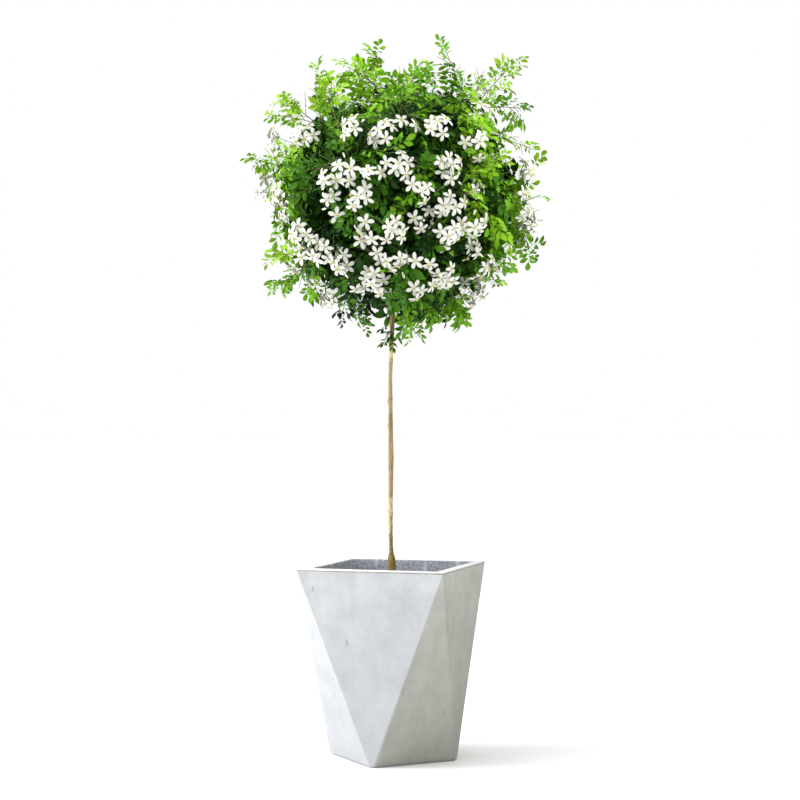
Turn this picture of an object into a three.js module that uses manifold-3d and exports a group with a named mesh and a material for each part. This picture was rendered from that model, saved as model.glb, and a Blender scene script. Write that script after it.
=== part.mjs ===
// A potted orange jasmine grown as a standard: a slim bare stem under a rounded, flowering head,
// planted in a square planter whose foot is turned an eighth of a turn against its rim.
// Lengths are millimetres, +Z is up, and the origin is the middle of the planter's underside.
import * as THREE from "three";
import { ConvexGeometry } from "three/addons/geometries/ConvexGeometry.js";
import { mergeVertices } from "three/addons/utils/BufferGeometryUtils.js";
import Module from "manifold-3d";

const wasm = await Module();
wasm.setup();

// Driving dimensions
const CLEARANCE = 0.3; // gap between two pieces that meet

const PLANTER = {
  height: 360,
  topSide: 280,
  footSide: 180,
  wall: 18,
  floor: 22,
  rimChamfer: 2.5,
  footRound: 10,
};

const SOIL = {
  level: 314, // at the stem
  edgeFall: 9, // lower at the wall than at the stem
  crestRadius: 26,
};

// The head is fuller to one side of the stem. Bearings are counted from that side, counterclockwise.
const HEAD_BEARING = 18.1; // degrees from +X
const HEAD = { offset: 13, height: 1061, radius: 290, heart: 0.62 };

// Stations up the stem: height, offset towards the head's fuller side, radius.
const TRUNK_STATIONS = [
  { z: SOIL.level, offset: -1.5, radius: 12.5 },
  { z: 326, offset: -1.6, radius: 9.2 },
  { z: 346, offset: -1.9, radius: 7.8 },
  { z: 362, offset: -2.1, radius: 7.7 },
  { z: 374, offset: -2.6, radius: 6.9 },
  { z: 387, offset: -3.2, radius: 4.0 },
  { z: 440, offset: -4.6, radius: 3.9 },
  { z: 510, offset: -4.0, radius: 4.4 },
  { z: 567, offset: -3.7, radius: 5.0 },
  { z: 630, offset: -4.4, radius: 4.2 },
  { z: 700, offset: -4.8, radius: 3.6 },
  { z: 750, offset: -3.4, radius: 3.8 },
  { z: 850, offset: 0.5, radius: 4.6 },
  { z: 950, offset: 5.5, radius: 4.0 },
  { z: 1050, offset: 10.0, radius: 2.9 },
  { z: 1128, offset: 12.0, radius: 2.0 },
];
const TRUNK_SIDES = 8;

// Rings of boughs, from the bottom of the head up. Each bough carries one mass of foliage.
// Tilt lifts the ring on the head's fuller side, or lowers it where it is negative. Entry is where the
// bough ends, counted from the middle of the head, rise is its slope at the trunk, and fan is how wide
// the twigs spread.
// Reach is how far each mass grows from the middle of the head, as a share of the head's radius, and
// peak is how much further its middle twig goes. A mass is lower at its edge by its edge drop.
const RINGS = [
  { name: "low", firstBearing: 198, elevation: -50, tilt: -13, firstHeight: 838, pitch: 11, rise: 64,
    entry: 132, fan: 40, edgeDrop: 0.03,
    reach: [1.08, 1.06, 1.05, 1.04, 1.06], peak: [0.1, 0.02, 0, 0, 0.03] },
  { name: "mid", firstBearing: 0, elevation: 0, tilt: -12, firstHeight: 904, pitch: 12, rise: 66,
    entry: 108, fan: 38, edgeDrop: 0.05,
    reach: [1.07, 1.04, 1.05, 1.07, 1.04, 1.04], peak: [0.04, 0, 0, 0.05, 0, 0] },
  { name: "high", firstBearing: 198, elevation: 41, tilt: 5, firstHeight: 986, pitch: 14, rise: 76,
    entry: 98, fan: 37, edgeDrop: 0.05,
    reach: [1.06, 1.03, 1.1, 1.04, 1.05], peak: [0.04, 0, 0.16, 0, 0.02] },
];
const TOP_MASS = { bearing: 190, elevation: 80, reach: 1.01, peak: 0.03, fan: 37, edgeDrop: 0.05 };

const BOUGH = { baseRadius: 2.9, tipRadius: 1.9, sides: 5, steps: 5, bend: 0.5 };

// Each mass has one stem, which carries on from its bough and ends at a share of the mass's reach.
const STEM = {
  baseRadius: 3.0, tipRadius: 2.6, sides: 3, steps: 3, bend: 0.4, share: 0.66, leaves: 8, leafSwing: 78,
};

// Twigs fan out from the stem to tips spread evenly over the mass, each short of its reach. Every
// second twig is a wisp that has the mass's full reach, and the others have a share of it.
const TWIG = {
  count: 11, baseRadius: 1.6, tipRadius: 1.5, sides: 3, firstShare: 0.12, tipInset: 48,
  wispEvery: 2, shortShare: 0.86,
};

// Each leaf stands for one spray of leaflets. It is tried in smaller and smaller sizes until it fits.
const LEAF = {
  perTwig: 4, length: 84, width: 56, keel: 7, sunk: 0.5, widest: 0.54, tipDrop: 0.1,
  spread: 60, droop: 0.16, roll: 0.3, tries: 12, largest: 1.12, smallest: 0.42,
};
const BLOSSOM = {
  across: 36, waist: 0.36, depth: 18, hollow: 2, sunk: 0.7, splay: 40, count: 2, everyTwig: 4,
};

// The lowest sprig stands on the bare stem, just under the head.
const SPRIG = { height: 770, bearing: 268, rise: 52, length: 46, leafLength: 34, leafWidth: 18, leaves: 5 };

const LIMB_GAP = 1.0; // room kept between foliage and any limb
const MASS_GAP = 1.2; // room kept between two masses
const EDGE_ANGLE = 34; // degrees from a mass's middle to its edge
const PEAK_ANGLE = 13; // degrees from a mass's middle to where its peak ends
const GOLDEN_ANGLE = 137.508;
const GROWTH_SEED = 1200; // each mass grows from its own number, counted on from here
const FRAME_STEPS = 60; // places along a curve where its cross directions are worked out

const COLOURS = { concrete: 0xcdd4d8, soil: 0x3a2c22, bark: 0xab8c5c, leaf: 0x3d8613 };

const UP = new THREE.Vector3(0, 0, 1);
const radians = THREE.MathUtils.degToRad;
const lerp = THREE.MathUtils.lerp;

// Small repeatable random numbers from 0 to 1.
function seededRandom(seed) {
  let state = seed >>> 0;
  return () => {
    state = (state + 0x6d2b79f5) >>> 0;
    let t = Math.imul(state ^ (state >>> 15), 1 | state);
    t = (t + Math.imul(t ^ (t >>> 7), 61 | t)) ^ t;
    return ((t ^ (t >>> 14)) >>> 0) / 4294967296;
  };
}

// A direction by its bearing from the head's fuller side and its elevation, both in degrees.
function direction(bearing, elevation) {
  const turn = radians(bearing + HEAD_BEARING);
  const lift = radians(elevation);
  return new THREE.Vector3(
    Math.cos(turn) * Math.cos(lift),
    Math.sin(turn) * Math.cos(lift),
    Math.sin(lift),
  );
}

// Solids: closed three.js geometry to a manifold solid and back.
function toSolid(geometry) {
  const bare = geometry.clone();
  bare.deleteAttribute("normal");
  bare.deleteAttribute("uv");
  const merged = mergeVertices(bare, 1e-4);
  return new wasm.Manifold(
    new wasm.Mesh({
      numProp: 3,
      vertProperties: new Float32Array(merged.attributes.position.array),
      triVerts: new Uint32Array(merged.index.array),
    }),
  );
}

function toGeometry(solid) {
  const mesh = solid.getMesh();
  const geometry = new THREE.BufferGeometry();
  geometry.setAttribute("position", new THREE.BufferAttribute(mesh.vertProperties, 3));
  geometry.setIndex(new THREE.BufferAttribute(mesh.triVerts, 1));
  geometry.computeVertexNormals();
  return geometry;
}

// Keeps the largest body: a loose scrap is dropped, and a sealed hollow is filled.
function largestBody(solid) {
  return solid.decompose().reduce((a, b) => (b.volume() > a.volume() ? b : a));
}

function fuse(solids) {
  return largestBody(wasm.Manifold.union(solids));
}

function namedMesh(name, geometry, colour, roughness) {
  const material = new THREE.MeshStandardMaterial({ color: colour, roughness, metalness: 0 });
  const mesh = new THREE.Mesh(geometry, material);
  mesh.name = name;
  return mesh;
}

function evenShares(steps) {
  return Array.from({ length: steps + 1 }, (_, i) => i / steps);
}

// A limb: a cylinder bent along a curve, with a ring of points at each of the given shares of its
// length and its own radius there.
function limbGeometry(curve, radiusAt, sides, shares) {
  const steps = shares.length - 1;
  const geometry = new THREE.CylinderGeometry(1, 1, 1, sides, steps);
  const frames = curve.computeFrenetFrames(FRAME_STEPS, false);
  const place = geometry.attributes.position;
  for (let i = 0; i < place.count; i++) {
    const share = shares[Math.round((place.getY(i) + 0.5) * steps)];
    const frame = Math.round(share * FRAME_STEPS);
    const radius = radiusAt(share);
    const point = curve
      .getPointAt(share)
      .addScaledVector(frames.normals[frame], place.getX(i) * radius)
      .addScaledVector(frames.binormals[frame], -place.getZ(i) * radius);
    place.setXYZ(i, point.x, point.y, point.z);
  }
  return geometry;
}

// Points along a limb with its radius there, to test whether foliage keeps clear of it.
function limbSamples(curve, radiusAt, count) {
  return Array.from({ length: count + 1 }, (_, i) => ({
    point: curve.getPointAt(i / count),
    radius: radiusAt(i / count),
  }));
}

// Planter: a square rim over a smaller square foot that is turned by 45 degrees.
function squareCorners(side, z, turn) {
  return [0, 1, 2, 3].map((k) => {
    const angle = radians(turn + 90 * k);
    const half = side / Math.SQRT2;
    return new THREE.Vector3(half * Math.cos(angle), half * Math.sin(angle), z);
  });
}

// The foot's corners and edges are rounded: points on a ball set inside each corner.
function roundedFootPoints() {
  const r = PLANTER.footRound;
  const inner = squareCorners(PLANTER.footSide - 2 * r, r, 0);
  const points = [];
  for (const [k, corner] of inner.entries()) {
    for (const tilt of [0, 30, 60, 90]) {
      for (const swing of [-45, -15, 15, 45]) {
        const around = radians(90 * k + swing);
        const flat = r * Math.cos(radians(tilt));
        points.push(
          new THREE.Vector3(
            corner.x + flat * Math.cos(around),
            corner.y + flat * Math.sin(around),
            tilt === 90 ? 0 : r - r * Math.sin(radians(tilt)),
          ),
        );
      }
    }
  }
  return points;
}

// The corners of the hollow inside: its bed on the floor and its mouth at the rim.
function hollowCorners(inset) {
  const bed = squareCorners(PLANTER.footSide - 2 * (PLANTER.wall + inset), PLANTER.floor + inset, 0);
  const mouth = squareCorners(PLANTER.topSide - 2 * (PLANTER.wall + inset), PLANTER.height, 45);
  return { bed, mouth };
}

function planter() {
  const { height, topSide, rimChamfer } = PLANTER;
  const outer = new ConvexGeometry([
    ...roundedFootPoints(),
    ...squareCorners(topSide, height - rimChamfer, 45),
    ...squareCorners(topSide - 2 * rimChamfer, height, 45),
  ]);
  const { bed, mouth } = hollowCorners(0);
  const above = mouth.map((corner) => corner.clone().setZ(height + 5));
  const hollow = new ConvexGeometry([...bed, ...mouth, ...above]);
  const body = toSolid(outer).subtract(toSolid(hollow));
  return namedMesh("planter", toGeometry(body), COLOURS.concrete, 0.85);
}

// Soil: fills the planter and rises a little towards the stem.
function soil() {
  const { bed, mouth } = hollowCorners(CLEARANCE);
  const edge = SOIL.level - SOIL.edgeFall;
  const rise = (edge - bed[0].z) / (PLANTER.height - bed[0].z);
  // Between bed and mouth, the section is an octagon on the lines that join their corners.
  const section = bed.flatMap((corner, k) =>
    [mouth[k], mouth[(k + 3) % 4]].map((end) => corner.clone().lerp(end, rise)),
  );
  const foot = trunkPoint(0);
  const crest = evenShares(9).map((share) => {
    const angle = 2 * Math.PI * share * 0.9;
    return new THREE.Vector3(
      foot.x + SOIL.crestRadius * Math.cos(angle),
      foot.y + SOIL.crestRadius * Math.sin(angle),
      SOIL.level,
    );
  });
  const body = new ConvexGeometry([...bed, ...section, ...crest]);
  return namedMesh("soil", body, COLOURS.soil, 1);
}

// Trunk: a smooth curve through the stations.
const trunkCurve = new THREE.CatmullRomCurve3(
  TRUNK_STATIONS.map(({ z, offset }) => {
    const side = direction(0, 0).multiplyScalar(offset);
    return new THREE.Vector3(side.x, side.y, z + (z === SOIL.level ? CLEARANCE : 0));
  }),
);

function trunkPoint(share) {
  return trunkCurve.getPointAt(share);
}

function trunkRadius(share) {
  const z = THREE.MathUtils.clamp(trunkPoint(share).z, TRUNK_STATIONS[0].z, TRUNK_STATIONS.at(-1).z);
  const next = Math.max(1, TRUNK_STATIONS.findIndex((station) => station.z >= z));
  const [a, b] = [TRUNK_STATIONS[next - 1], TRUNK_STATIONS[next]];
  return lerp(a.radius, b.radius, THREE.MathUtils.smoothstep(z, a.z, b.z));
}

function trunkShareAt(height) {
  let [low, high] = [0, 1];
  for (let i = 0; i < 30; i++) {
    const middle = (low + high) / 2;
    if (trunkPoint(middle).z < height) low = middle;
    else high = middle;
  }
  return low;
}

// The trunk's solid, or the same grown by a clearance, which cuts the foot of each bough to fit it.
// It has a ring of points at each station and halfway to the next.
function trunkGeometry(grow) {
  const heights = TRUNK_STATIONS.slice(0, -1).flatMap((station, k) => [
    station.z,
    (station.z + TRUNK_STATIONS[k + 1].z) / 2,
  ]);
  const shares = [0, ...heights.slice(1).map(trunkShareAt), 1];
  const radiusAt = (share) => trunkRadius(share) + grow;
  const geometry = limbGeometry(trunkCurve, radiusAt, TRUNK_SIDES, shares);
  // The cut at the soil is flat and level.
  const lowest = SOIL.level + CLEARANCE;
  const place = geometry.attributes.position;
  for (let i = 0; i < place.count; i++)
    if (place.getZ(i) < lowest + 1) place.setZ(i, lowest);
  return geometry;
}

// Masses of foliage: each has its own direction from the middle of the head and its own reach.
const headCentre = direction(0, 0).multiplyScalar(HEAD.offset).setZ(HEAD.height);

function listMasses() {
  const masses = [];
  for (const ring of RINGS) {
    const { reach, peak, firstBearing, elevation, tilt, firstHeight, pitch, ...shared } = ring;
    reach.forEach((share, k) => {
      const bearing = firstBearing + (360 / reach.length) * k;
      masses.push({
        ...shared,
        name: `${ring.name}_${k + 1}`,
        bearing,
        axis: direction(bearing, elevation + tilt * Math.cos(radians(bearing))),
        // Boughs that follow each other up the trunk stand on different sides of it.
        startHeight: firstHeight + pitch * ((2 * k) % reach.length),
        reach: share * HEAD.radius,
        peak: peak[k] * HEAD.radius,
      });
    });
  }
  const { bearing, elevation, reach, peak, ...shared } = TOP_MASS;
  masses.push({
    ...shared,
    name: "top",
    axis: direction(bearing, elevation),
    reach: reach * HEAD.radius,
    peak: peak * HEAD.radius,
  });
  for (const mass of masses)
    mass.heart = headCentre.clone().addScaledVector(mass.axis, HEAD.radius * HEAD.heart);
  return masses;
}

const masses = listMasses();

// How far a mass reaches from the middle of the head in a given direction: most at its peak, and less
// towards its edge.
function reachTowards(mass, way) {
  const angle = THREE.MathUtils.radToDeg(way.angleTo(mass.axis));
  const dome = mass.reach * (1 - mass.edgeDrop * Math.min(angle / EDGE_ANGLE, 1.6) ** 2);
  return dome + mass.peak * Math.max(0, 1 - angle / PEAK_ANGLE);
}

// A mass keeps to the points that lie nearer to its heart than to any other, inside a share of its reach.
function inSpace(mass, point, share) {
  const out = point.clone().sub(headCentre);
  if (out.length() > reachTowards(mass, out) * share) return false;
  return masses.every((other) => {
    if (other === mass) return true;
    const towards = other.heart.clone().sub(mass.heart);
    const middle = other.heart.clone().add(mass.heart).multiplyScalar(0.5);
    return point.clone().sub(middle).dot(towards.normalize()) < -MASS_GAP / 2;
  });
}

function clearOfLimbs(points, limbs) {
  return points.every((point) =>
    limbs.every((limb) => point.distanceTo(limb.point) > limb.radius + LIMB_GAP),
  );
}

// Whether no limb runs through a leaf or close past any of its faces.
function bladeClears(blade, limbs) {
  const corners = cornersOf(blade);
  const face = new THREE.Triangle();
  const nearest = new THREE.Vector3();
  for (let i = 0; i < corners.length; i += 3) {
    face.set(corners[i], corners[i + 1], corners[i + 2]);
    const touched = limbs.some(({ point, radius }) => {
      face.closestPointToPoint(point, nearest);
      return nearest.distanceTo(point) < radius + LIMB_GAP;
    });
    if (touched) return false;
  }
  return true;
}

// Boughs: one tapering limb from the trunk to each mass.
const boughRadius = (share) => lerp(BOUGH.baseRadius, BOUGH.tipRadius, share);

function boughCurve(mass) {
  const start = trunkPoint(trunkShareAt(mass.startHeight));
  const end = headCentre.clone().addScaledVector(mass.axis, mass.entry);
  const leaving = direction(mass.bearing, mass.rise);
  const bend = start.clone().addScaledVector(leaving, start.distanceTo(end) * BOUGH.bend);
  return new THREE.QuadraticBezierCurve3(start, bend, end);
}

function bough(mass, grownTrunk) {
  const tube = limbGeometry(mass.bough, boughRadius, BOUGH.sides, evenShares(BOUGH.steps));
  const limb = largestBody(toSolid(tube).subtract(grownTrunk));
  return namedMesh(`bough_${mass.name}`, toGeometry(limb), COLOURS.bark, 0.9);
}

// A leaf: a blade of four faces that meet in the midrib, its root sunk in the twig, its tip bent down.
function leafGeometry(root, along, face, length, width, keel) {
  const side = along.clone().cross(face).normalize();
  const normal = side.clone().cross(along);
  const blade = new THREE.TetrahedronGeometry(1, 0);
  const place = blade.attributes.position;
  for (let i = 0; i < place.count; i++) {
    const end = Math.sign(Math.round(place.getX(i) + place.getY(i)));
    const edge = Math.sign(Math.round(place.getX(i) - place.getY(i)));
    const run = end > 0 ? length : end < 0 ? -LEAF.sunk : length * LEAF.widest;
    const drop = end > 0 ? length * LEAF.tipDrop : end < 0 ? 0 : keel;
    const point = root
      .clone()
      .addScaledVector(along, run)
      .addScaledVector(side, (edge * width) / 2)
      .addScaledVector(normal, -drop);
    place.setXYZ(i, point.x, point.y, point.z);
  }
  return blade;
}

// A blossom: five petals open round a narrow throat, whose point is sunk in the twig.
function blossomGeometry(root, along) {
  const turn = new THREE.Quaternion().setFromUnitVectors(new THREE.Vector3(0, 1, 0), along);
  const star = new THREE.SphereGeometry(1, 10, 2);
  const place = star.attributes.position;
  for (let i = 0; i < place.count; i++) {
    const [x, y, z] = [place.getX(i), place.getY(i), place.getZ(i)];
    const around = Math.atan2(z, x);
    const petal = Math.round((around / (2 * Math.PI)) * 10) % 2 === 0;
    const radius = (petal ? BLOSSOM.across : BLOSSOM.across * BLOSSOM.waist) / 2;
    const run = y > 0.5 ? BLOSSOM.depth - BLOSSOM.hollow : y < -0.5 ? -BLOSSOM.sunk : BLOSSOM.depth;
    const wide = Math.abs(y) > 0.5 ? 0 : radius;
    const point = new THREE.Vector3(wide * Math.cos(around), run, wide * Math.sin(around));
    point.applyQuaternion(turn).add(root);
    place.setXYZ(i, point.x, point.y, point.z);
  }
  return star;
}

function cornersOf(geometry) {
  const place = geometry.attributes.position;
  return Array.from({ length: place.count }, (_, i) =>
    new THREE.Vector3().fromBufferAttribute(place, i),
  );
}

// Any unit vector square to the given one, turned round it by an angle in degrees.
function squareTo(axis, angle) {
  const flat = Math.abs(axis.z) > 0.9 ? new THREE.Vector3(1, 0, 0) : UP.clone();
  return flat.cross(axis).normalize().applyAxisAngle(axis, radians(angle));
}

// A leaf faces up and outwards, as leaves do, with a little scatter.
function leafFace(along, out, random) {
  const face = UP.clone().multiplyScalar(0.75).add(out).normalize();
  face.add(squareTo(along, 360 * random()).multiplyScalar(0.35));
  return face.addScaledVector(along, -face.dot(along)).normalize();
}

// Whether a solid runs into any other of a list.
function touchesAny(solid, others) {
  const { min, max } = solid.boundingBox();
  return others.some((other) => {
    const box = other.boundingBox();
    const apart = [0, 1, 2].some((i) => box.min[i] > max[i] || box.max[i] < min[i]);
    return !apart && !other.intersect(solid).isEmpty();
  });
}

// Tries a leaf at a few angles and sizes, and skips it where it would leave the space, touch a limb
// or run through another leaf or twig.
function addLeaf(root, frame, swing, plan, random) {
  const { leaf } = plan;
  for (let tries = 0; tries < leaf.tries; tries++) {
    const turn = radians(swing * lerp(1, 0.2, tries / leaf.tries) + 60 * (random() - 0.5));
    const way = frame.along.clone().multiplyScalar(Math.cos(turn));
    way.addScaledVector(frame.side, Math.sin(turn));
    way.addScaledVector(frame.flat, 0.5 * (random() - 0.5)).addScaledVector(UP, -leaf.droop);
    way.normalize();
    const size = lerp(leaf.largest, leaf.smallest, tries / leaf.tries);
    const face = frame.flat.clone().addScaledVector(squareTo(way, 360 * random()), leaf.roll);
    const blade = leafGeometry(root, way, face, leaf.length * size, leaf.width * size, leaf.keel * size);
    if (!plan.fits(cornersOf(blade).filter((point) => point.distanceTo(root) > 3))) continue;
    if (!bladeClears(blade, plan.limbs)) continue;
    const solid = toSolid(blade);
    const others = plan.solids.filter((other) => other !== frame.twig);
    if (touchesAny(solid, [...others, ...plan.neighbours])) continue;
    plan.solids.push(solid);
    return;
  }
}

// A straight three-sided twig, turned so that it has a flat side towards each row of leaves.
function twigGeometry(base, end, { along, side, flat }) {
  const length = base.distanceTo(end);
  const geometry = new THREE.CylinderGeometry(TWIG.tipRadius, TWIG.baseRadius, length, TWIG.sides);
  geometry.translate(0, length / 2, 0);
  geometry.applyMatrix4(new THREE.Matrix4().makeBasis(side, along, flat).setPosition(base));
  return geometry;
}

// A twig with leaves on both sides and a leaf or blossoms at its tip. One that would leave the space,
// touch a limb or run through a leaf is skipped.
function growTwig(base, end, plan, random) {
  const checked = evenShares(16).slice(5);
  if (!plan.fits(checked.map((share) => base.clone().lerp(end, share)))) return;
  const along = end.clone().sub(base).normalize();
  const flat = leafFace(along, end.clone().sub(headCentre).normalize(), random);
  const side = along.clone().cross(flat);
  const twig = toSolid(twigGeometry(base, end, { along, side, flat }));
  if (touchesAny(twig, plan.solids.slice(1))) return;
  plan.solids.push(twig);

  const frame = { twig, along, side, flat };
  if (plan.blossomsAtTip) addBlossoms(end, frame, plan, random);
  else addLeaf(base.clone().lerp(end, 0.985), frame, 0, plan, random);
  const pairs = plan.leaf.perTwig - 1;
  for (let k = 0; k < pairs; k++) {
    const root = base.clone().lerp(end, lerp(0.94, 0.3, k / (pairs - 1)));
    addLeaf(root, frame, plan.leaf.spread * (k % 2 ? 1 : -1), plan, random);
  }
}

function addBlossoms(tip, { along, twig }, plan, random) {
  const first = 360 * random();
  for (let k = 0; k < BLOSSOM.count; k++) {
    const lean = squareTo(along, first + (360 * k) / BLOSSOM.count);
    const splay = radians(BLOSSOM.splay);
    const way = along.clone().multiplyScalar(Math.cos(splay)).addScaledVector(lean, Math.sin(splay));
    const star = blossomGeometry(tip, way);
    if (!plan.fits(cornersOf(star).filter((point) => point.distanceTo(tip) > 4))) continue;
    const solid = toSolid(star);
    if (touchesAny(solid, plan.solids.filter((other) => other !== twig && !plan.stars.has(other)))) continue;
    plan.stars.add(solid);
    plan.solids.push(solid);
  }
}

const twigShare = (k) => (k % TWIG.wispEvery === 0 ? 1 : TWIG.shortShare);

// Where the twigs of a mass end: a sunflower spiral over its outline, a little inside it. A tip that
// falls outside the mass's space is drawn in towards the middle.
function twigTips(mass, plan, random) {
  const across = squareTo(mass.axis, 360 * random());
  return Array.from({ length: TWIG.count }, (_, k) => {
    const spin = across.clone().applyAxisAngle(mass.axis, radians(GOLDEN_ANGLE * k));
    const depth = TWIG.tipInset * lerp(0.8, 1.5, random());
    const share = twigShare(k);
    let angle = mass.fan * Math.sqrt(k / TWIG.count);
    let tip;
    do {
      const way = mass.axis.clone().applyAxisAngle(spin, radians(angle));
      tip = headCentre.clone().addScaledVector(way, reachTowards(mass, way) * share - depth);
      angle *= 0.9;
    } while (!plan.fits([tip]) && angle > 3);
    return tip;
  });
}

// Leaves on the stem itself fill the inside of the mass.
function addStemLeaves(curve, plan, random) {
  for (let k = 0; k < STEM.leaves; k++) {
    const share = lerp(0.08, 0.9, k / (STEM.leaves - 1));
    const along = curve.getTangentAt(share);
    const side = squareTo(along, GOLDEN_ANGLE * k + 90 * random());
    const frame = { twig: plan.solids[0], along, side, flat: side.clone().cross(along) };
    addLeaf(curve.getPointAt(share), frame, STEM.leafSwing, plan, random);
  }
}

// A mass: one stem that carries on from its bough's tip, twigs fanned out from it, and leaves.
function growMass(mass, seed, limbs) {
  const random = seededRandom(seed);
  const start = mass.stemStart.clone().addScaledVector(mass.stemWay, CLEARANCE);
  const end = headCentre.clone().addScaledVector(mass.axis, mass.reach * STEM.share);
  const bend = start.clone().addScaledVector(mass.stemWay, start.distanceTo(end) * STEM.bend);
  const curve = new THREE.QuadraticBezierCurve3(start, bend, end);
  const taper = (share) => lerp(STEM.baseRadius, STEM.tipRadius, share);
  const plan = {
    solids: [toSolid(limbGeometry(curve, taper, STEM.sides, evenShares(STEM.steps)))],
    stars: new Set(),
    limbs,
    neighbours: [],
    leaf: LEAF,
    share: 1,
    fits: (points) =>
      points.every((point) => inSpace(mass, point, plan.share)) && clearOfLimbs(points, limbs),
  };
  twigTips(mass, plan, random).forEach((tip, k) => {
    // The wider a twig spreads, the lower it leaves the stem.
    const base = curve.getPointAt(lerp(0.97, TWIG.firstShare, (k + 0.2) / TWIG.count));
    plan.blossomsAtTip = k % BLOSSOM.everyTwig === 1;
    plan.share = twigShare(k);
    growTwig(base, tip, plan, random);
  });
  plan.share = TWIG.shortShare;
  addStemLeaves(curve, plan, random);
  return fuse(plan.solids);
}

// The sprig under the head: a short twig on the bare stem, with small leaves, clear of the trunk and
// of the masses above it.
function growSprig(limbs, grownTrunk, neighbours) {
  const random = seededRandom(77);
  const base = trunkPoint(trunkShareAt(SPRIG.height));
  const end = base.clone().addScaledVector(direction(SPRIG.bearing, SPRIG.rise), SPRIG.length);
  const plan = {
    solids: [],
    limbs,
    neighbours,
    blossomsAtTip: false,
    leaf: { ...LEAF, perTwig: SPRIG.leaves, length: SPRIG.leafLength, width: SPRIG.leafWidth, keel: 4 },
    fits: (points) => clearOfLimbs(points, limbs),
  };
  growTwig(base, end, plan, random);
  return largestBody(fuse(plan.solids).subtract(grownTrunk));
}

function foliageMesh(name, solid) {
  return namedMesh(name, toGeometry(solid), COLOURS.leaf, 0.55);
}

// Assembly
const plant = new THREE.Group();
plant.add(planter(), soil());
plant.add(namedMesh("trunk", trunkGeometry(0), COLOURS.bark, 0.9));

const grownTrunk = toSolid(trunkGeometry(CLEARANCE));
const limbs = limbSamples(trunkCurve, trunkRadius, 200);
for (const mass of masses) {
  if (mass.startHeight) {
    mass.bough = boughCurve(mass);
    mass.stemStart = mass.bough.getPoint(1);
    mass.stemWay = mass.bough.getTangent(1);
    plant.add(bough(mass, grownTrunk));
    limbs.push(...limbSamples(mass.bough, boughRadius, 40));
  } else {
    mass.stemStart = trunkPoint(1);
    mass.stemWay = trunkCurve.getTangent(1);
  }
}

const grownMasses = masses.map((mass, k) => growMass(mass, GROWTH_SEED + k, limbs));
masses.forEach((mass, k) => plant.add(foliageMesh(`foliage_${mass.name}`, grownMasses[k])));
plant.add(foliageMesh("foliage_sprig", growSprig(limbs, grownTrunk, grownMasses)));

export default plant;
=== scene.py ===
# %% [markdown]
# # A potted orange jasmine
# The plant is a small standard: a slim bare stem, a loose round head of glossy leaflets and white
# star flowers, and a tall square planter of pale fibre cement. The planter, the trunk and the boughs
# follow the solids of the frame. The head grows on from the boughs by one seeded rule, down to
# single leaflets and petals.

import math

import bmesh
import bpy
import numpy as np
from mathutils import Matrix, Vector, noise


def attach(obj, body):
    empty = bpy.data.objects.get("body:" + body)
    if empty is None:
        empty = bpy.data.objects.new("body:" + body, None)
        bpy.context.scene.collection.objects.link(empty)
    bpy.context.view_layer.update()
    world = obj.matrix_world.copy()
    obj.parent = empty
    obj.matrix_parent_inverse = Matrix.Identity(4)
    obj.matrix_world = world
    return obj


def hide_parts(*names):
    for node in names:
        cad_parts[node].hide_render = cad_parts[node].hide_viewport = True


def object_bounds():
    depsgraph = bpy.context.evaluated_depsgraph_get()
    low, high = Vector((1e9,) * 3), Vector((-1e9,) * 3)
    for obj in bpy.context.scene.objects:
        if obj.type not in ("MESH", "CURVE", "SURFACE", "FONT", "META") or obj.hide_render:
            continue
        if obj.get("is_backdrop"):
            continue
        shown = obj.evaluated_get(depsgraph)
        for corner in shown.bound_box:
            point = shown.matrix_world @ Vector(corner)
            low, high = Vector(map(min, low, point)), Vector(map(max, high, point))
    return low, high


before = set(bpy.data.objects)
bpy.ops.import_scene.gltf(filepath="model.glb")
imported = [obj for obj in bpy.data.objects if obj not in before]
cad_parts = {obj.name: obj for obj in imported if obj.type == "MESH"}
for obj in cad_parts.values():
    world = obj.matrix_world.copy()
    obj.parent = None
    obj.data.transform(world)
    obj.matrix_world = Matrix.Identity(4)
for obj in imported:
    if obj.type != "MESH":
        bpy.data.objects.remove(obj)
cad_low, cad_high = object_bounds()
FOLIAGE_NODES = sorted(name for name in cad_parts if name.startswith("foliage_"))
BOUGH_NODES = sorted(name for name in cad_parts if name.startswith("bough_"))
print("frame:", len(FOLIAGE_NODES), "masses of leaves on", len(BOUGH_NODES), "boughs")

# %% [markdown]
# ## The camera
# The photograph is a level view from a little over halfway up the plant. The eye's place was found
# by fitting the rim and foot corners of the planter. A long lens from almost four metres keeps the
# planter's sides nearly parallel, and the aim lies a hair to the right of the planter's axis.

# %% Place the camera
VIEW_BEARING = math.radians(18.15)
EYE_DISTANCE = 3.7937
EYE_HEIGHT = 0.6682
LENS_MM = 91.18
SENSOR_MM = 36.0
AIM_RIGHT = math.radians(0.2)

camera_data = bpy.data.cameras.new("photo_camera")
camera_data.lens = LENS_MM
camera_data.sensor_width = SENSOR_MM
camera = bpy.data.objects.new("photo_camera", camera_data)
camera.location = (
    math.sin(VIEW_BEARING) * EYE_DISTANCE,
    -math.cos(VIEW_BEARING) * EYE_DISTANCE,
    EYE_HEIGHT,
)
camera.rotation_euler = (math.pi / 2, 0.0, VIEW_BEARING - AIM_RIGHT)
bpy.context.scene.collection.objects.link(camera)
bpy.context.scene.camera = camera
camera_right = np.array([math.cos(VIEW_BEARING), math.sin(VIEW_BEARING), 0.0])
print("camera:", [round(value, 3) for value in camera.location])

# %% [markdown]
# ## Helpers for finishes
# Every finish here is a principled shader with a few textures that read Object coordinates. A few
# small helpers keep the cells short: one adds a node and wires its inputs, and the others use it to
# lay a noise over the piece, to fade with the height, or to turn a grey value into colour, roughness
# or relief. The sky has nodes too, so it borrows some of them.

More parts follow.
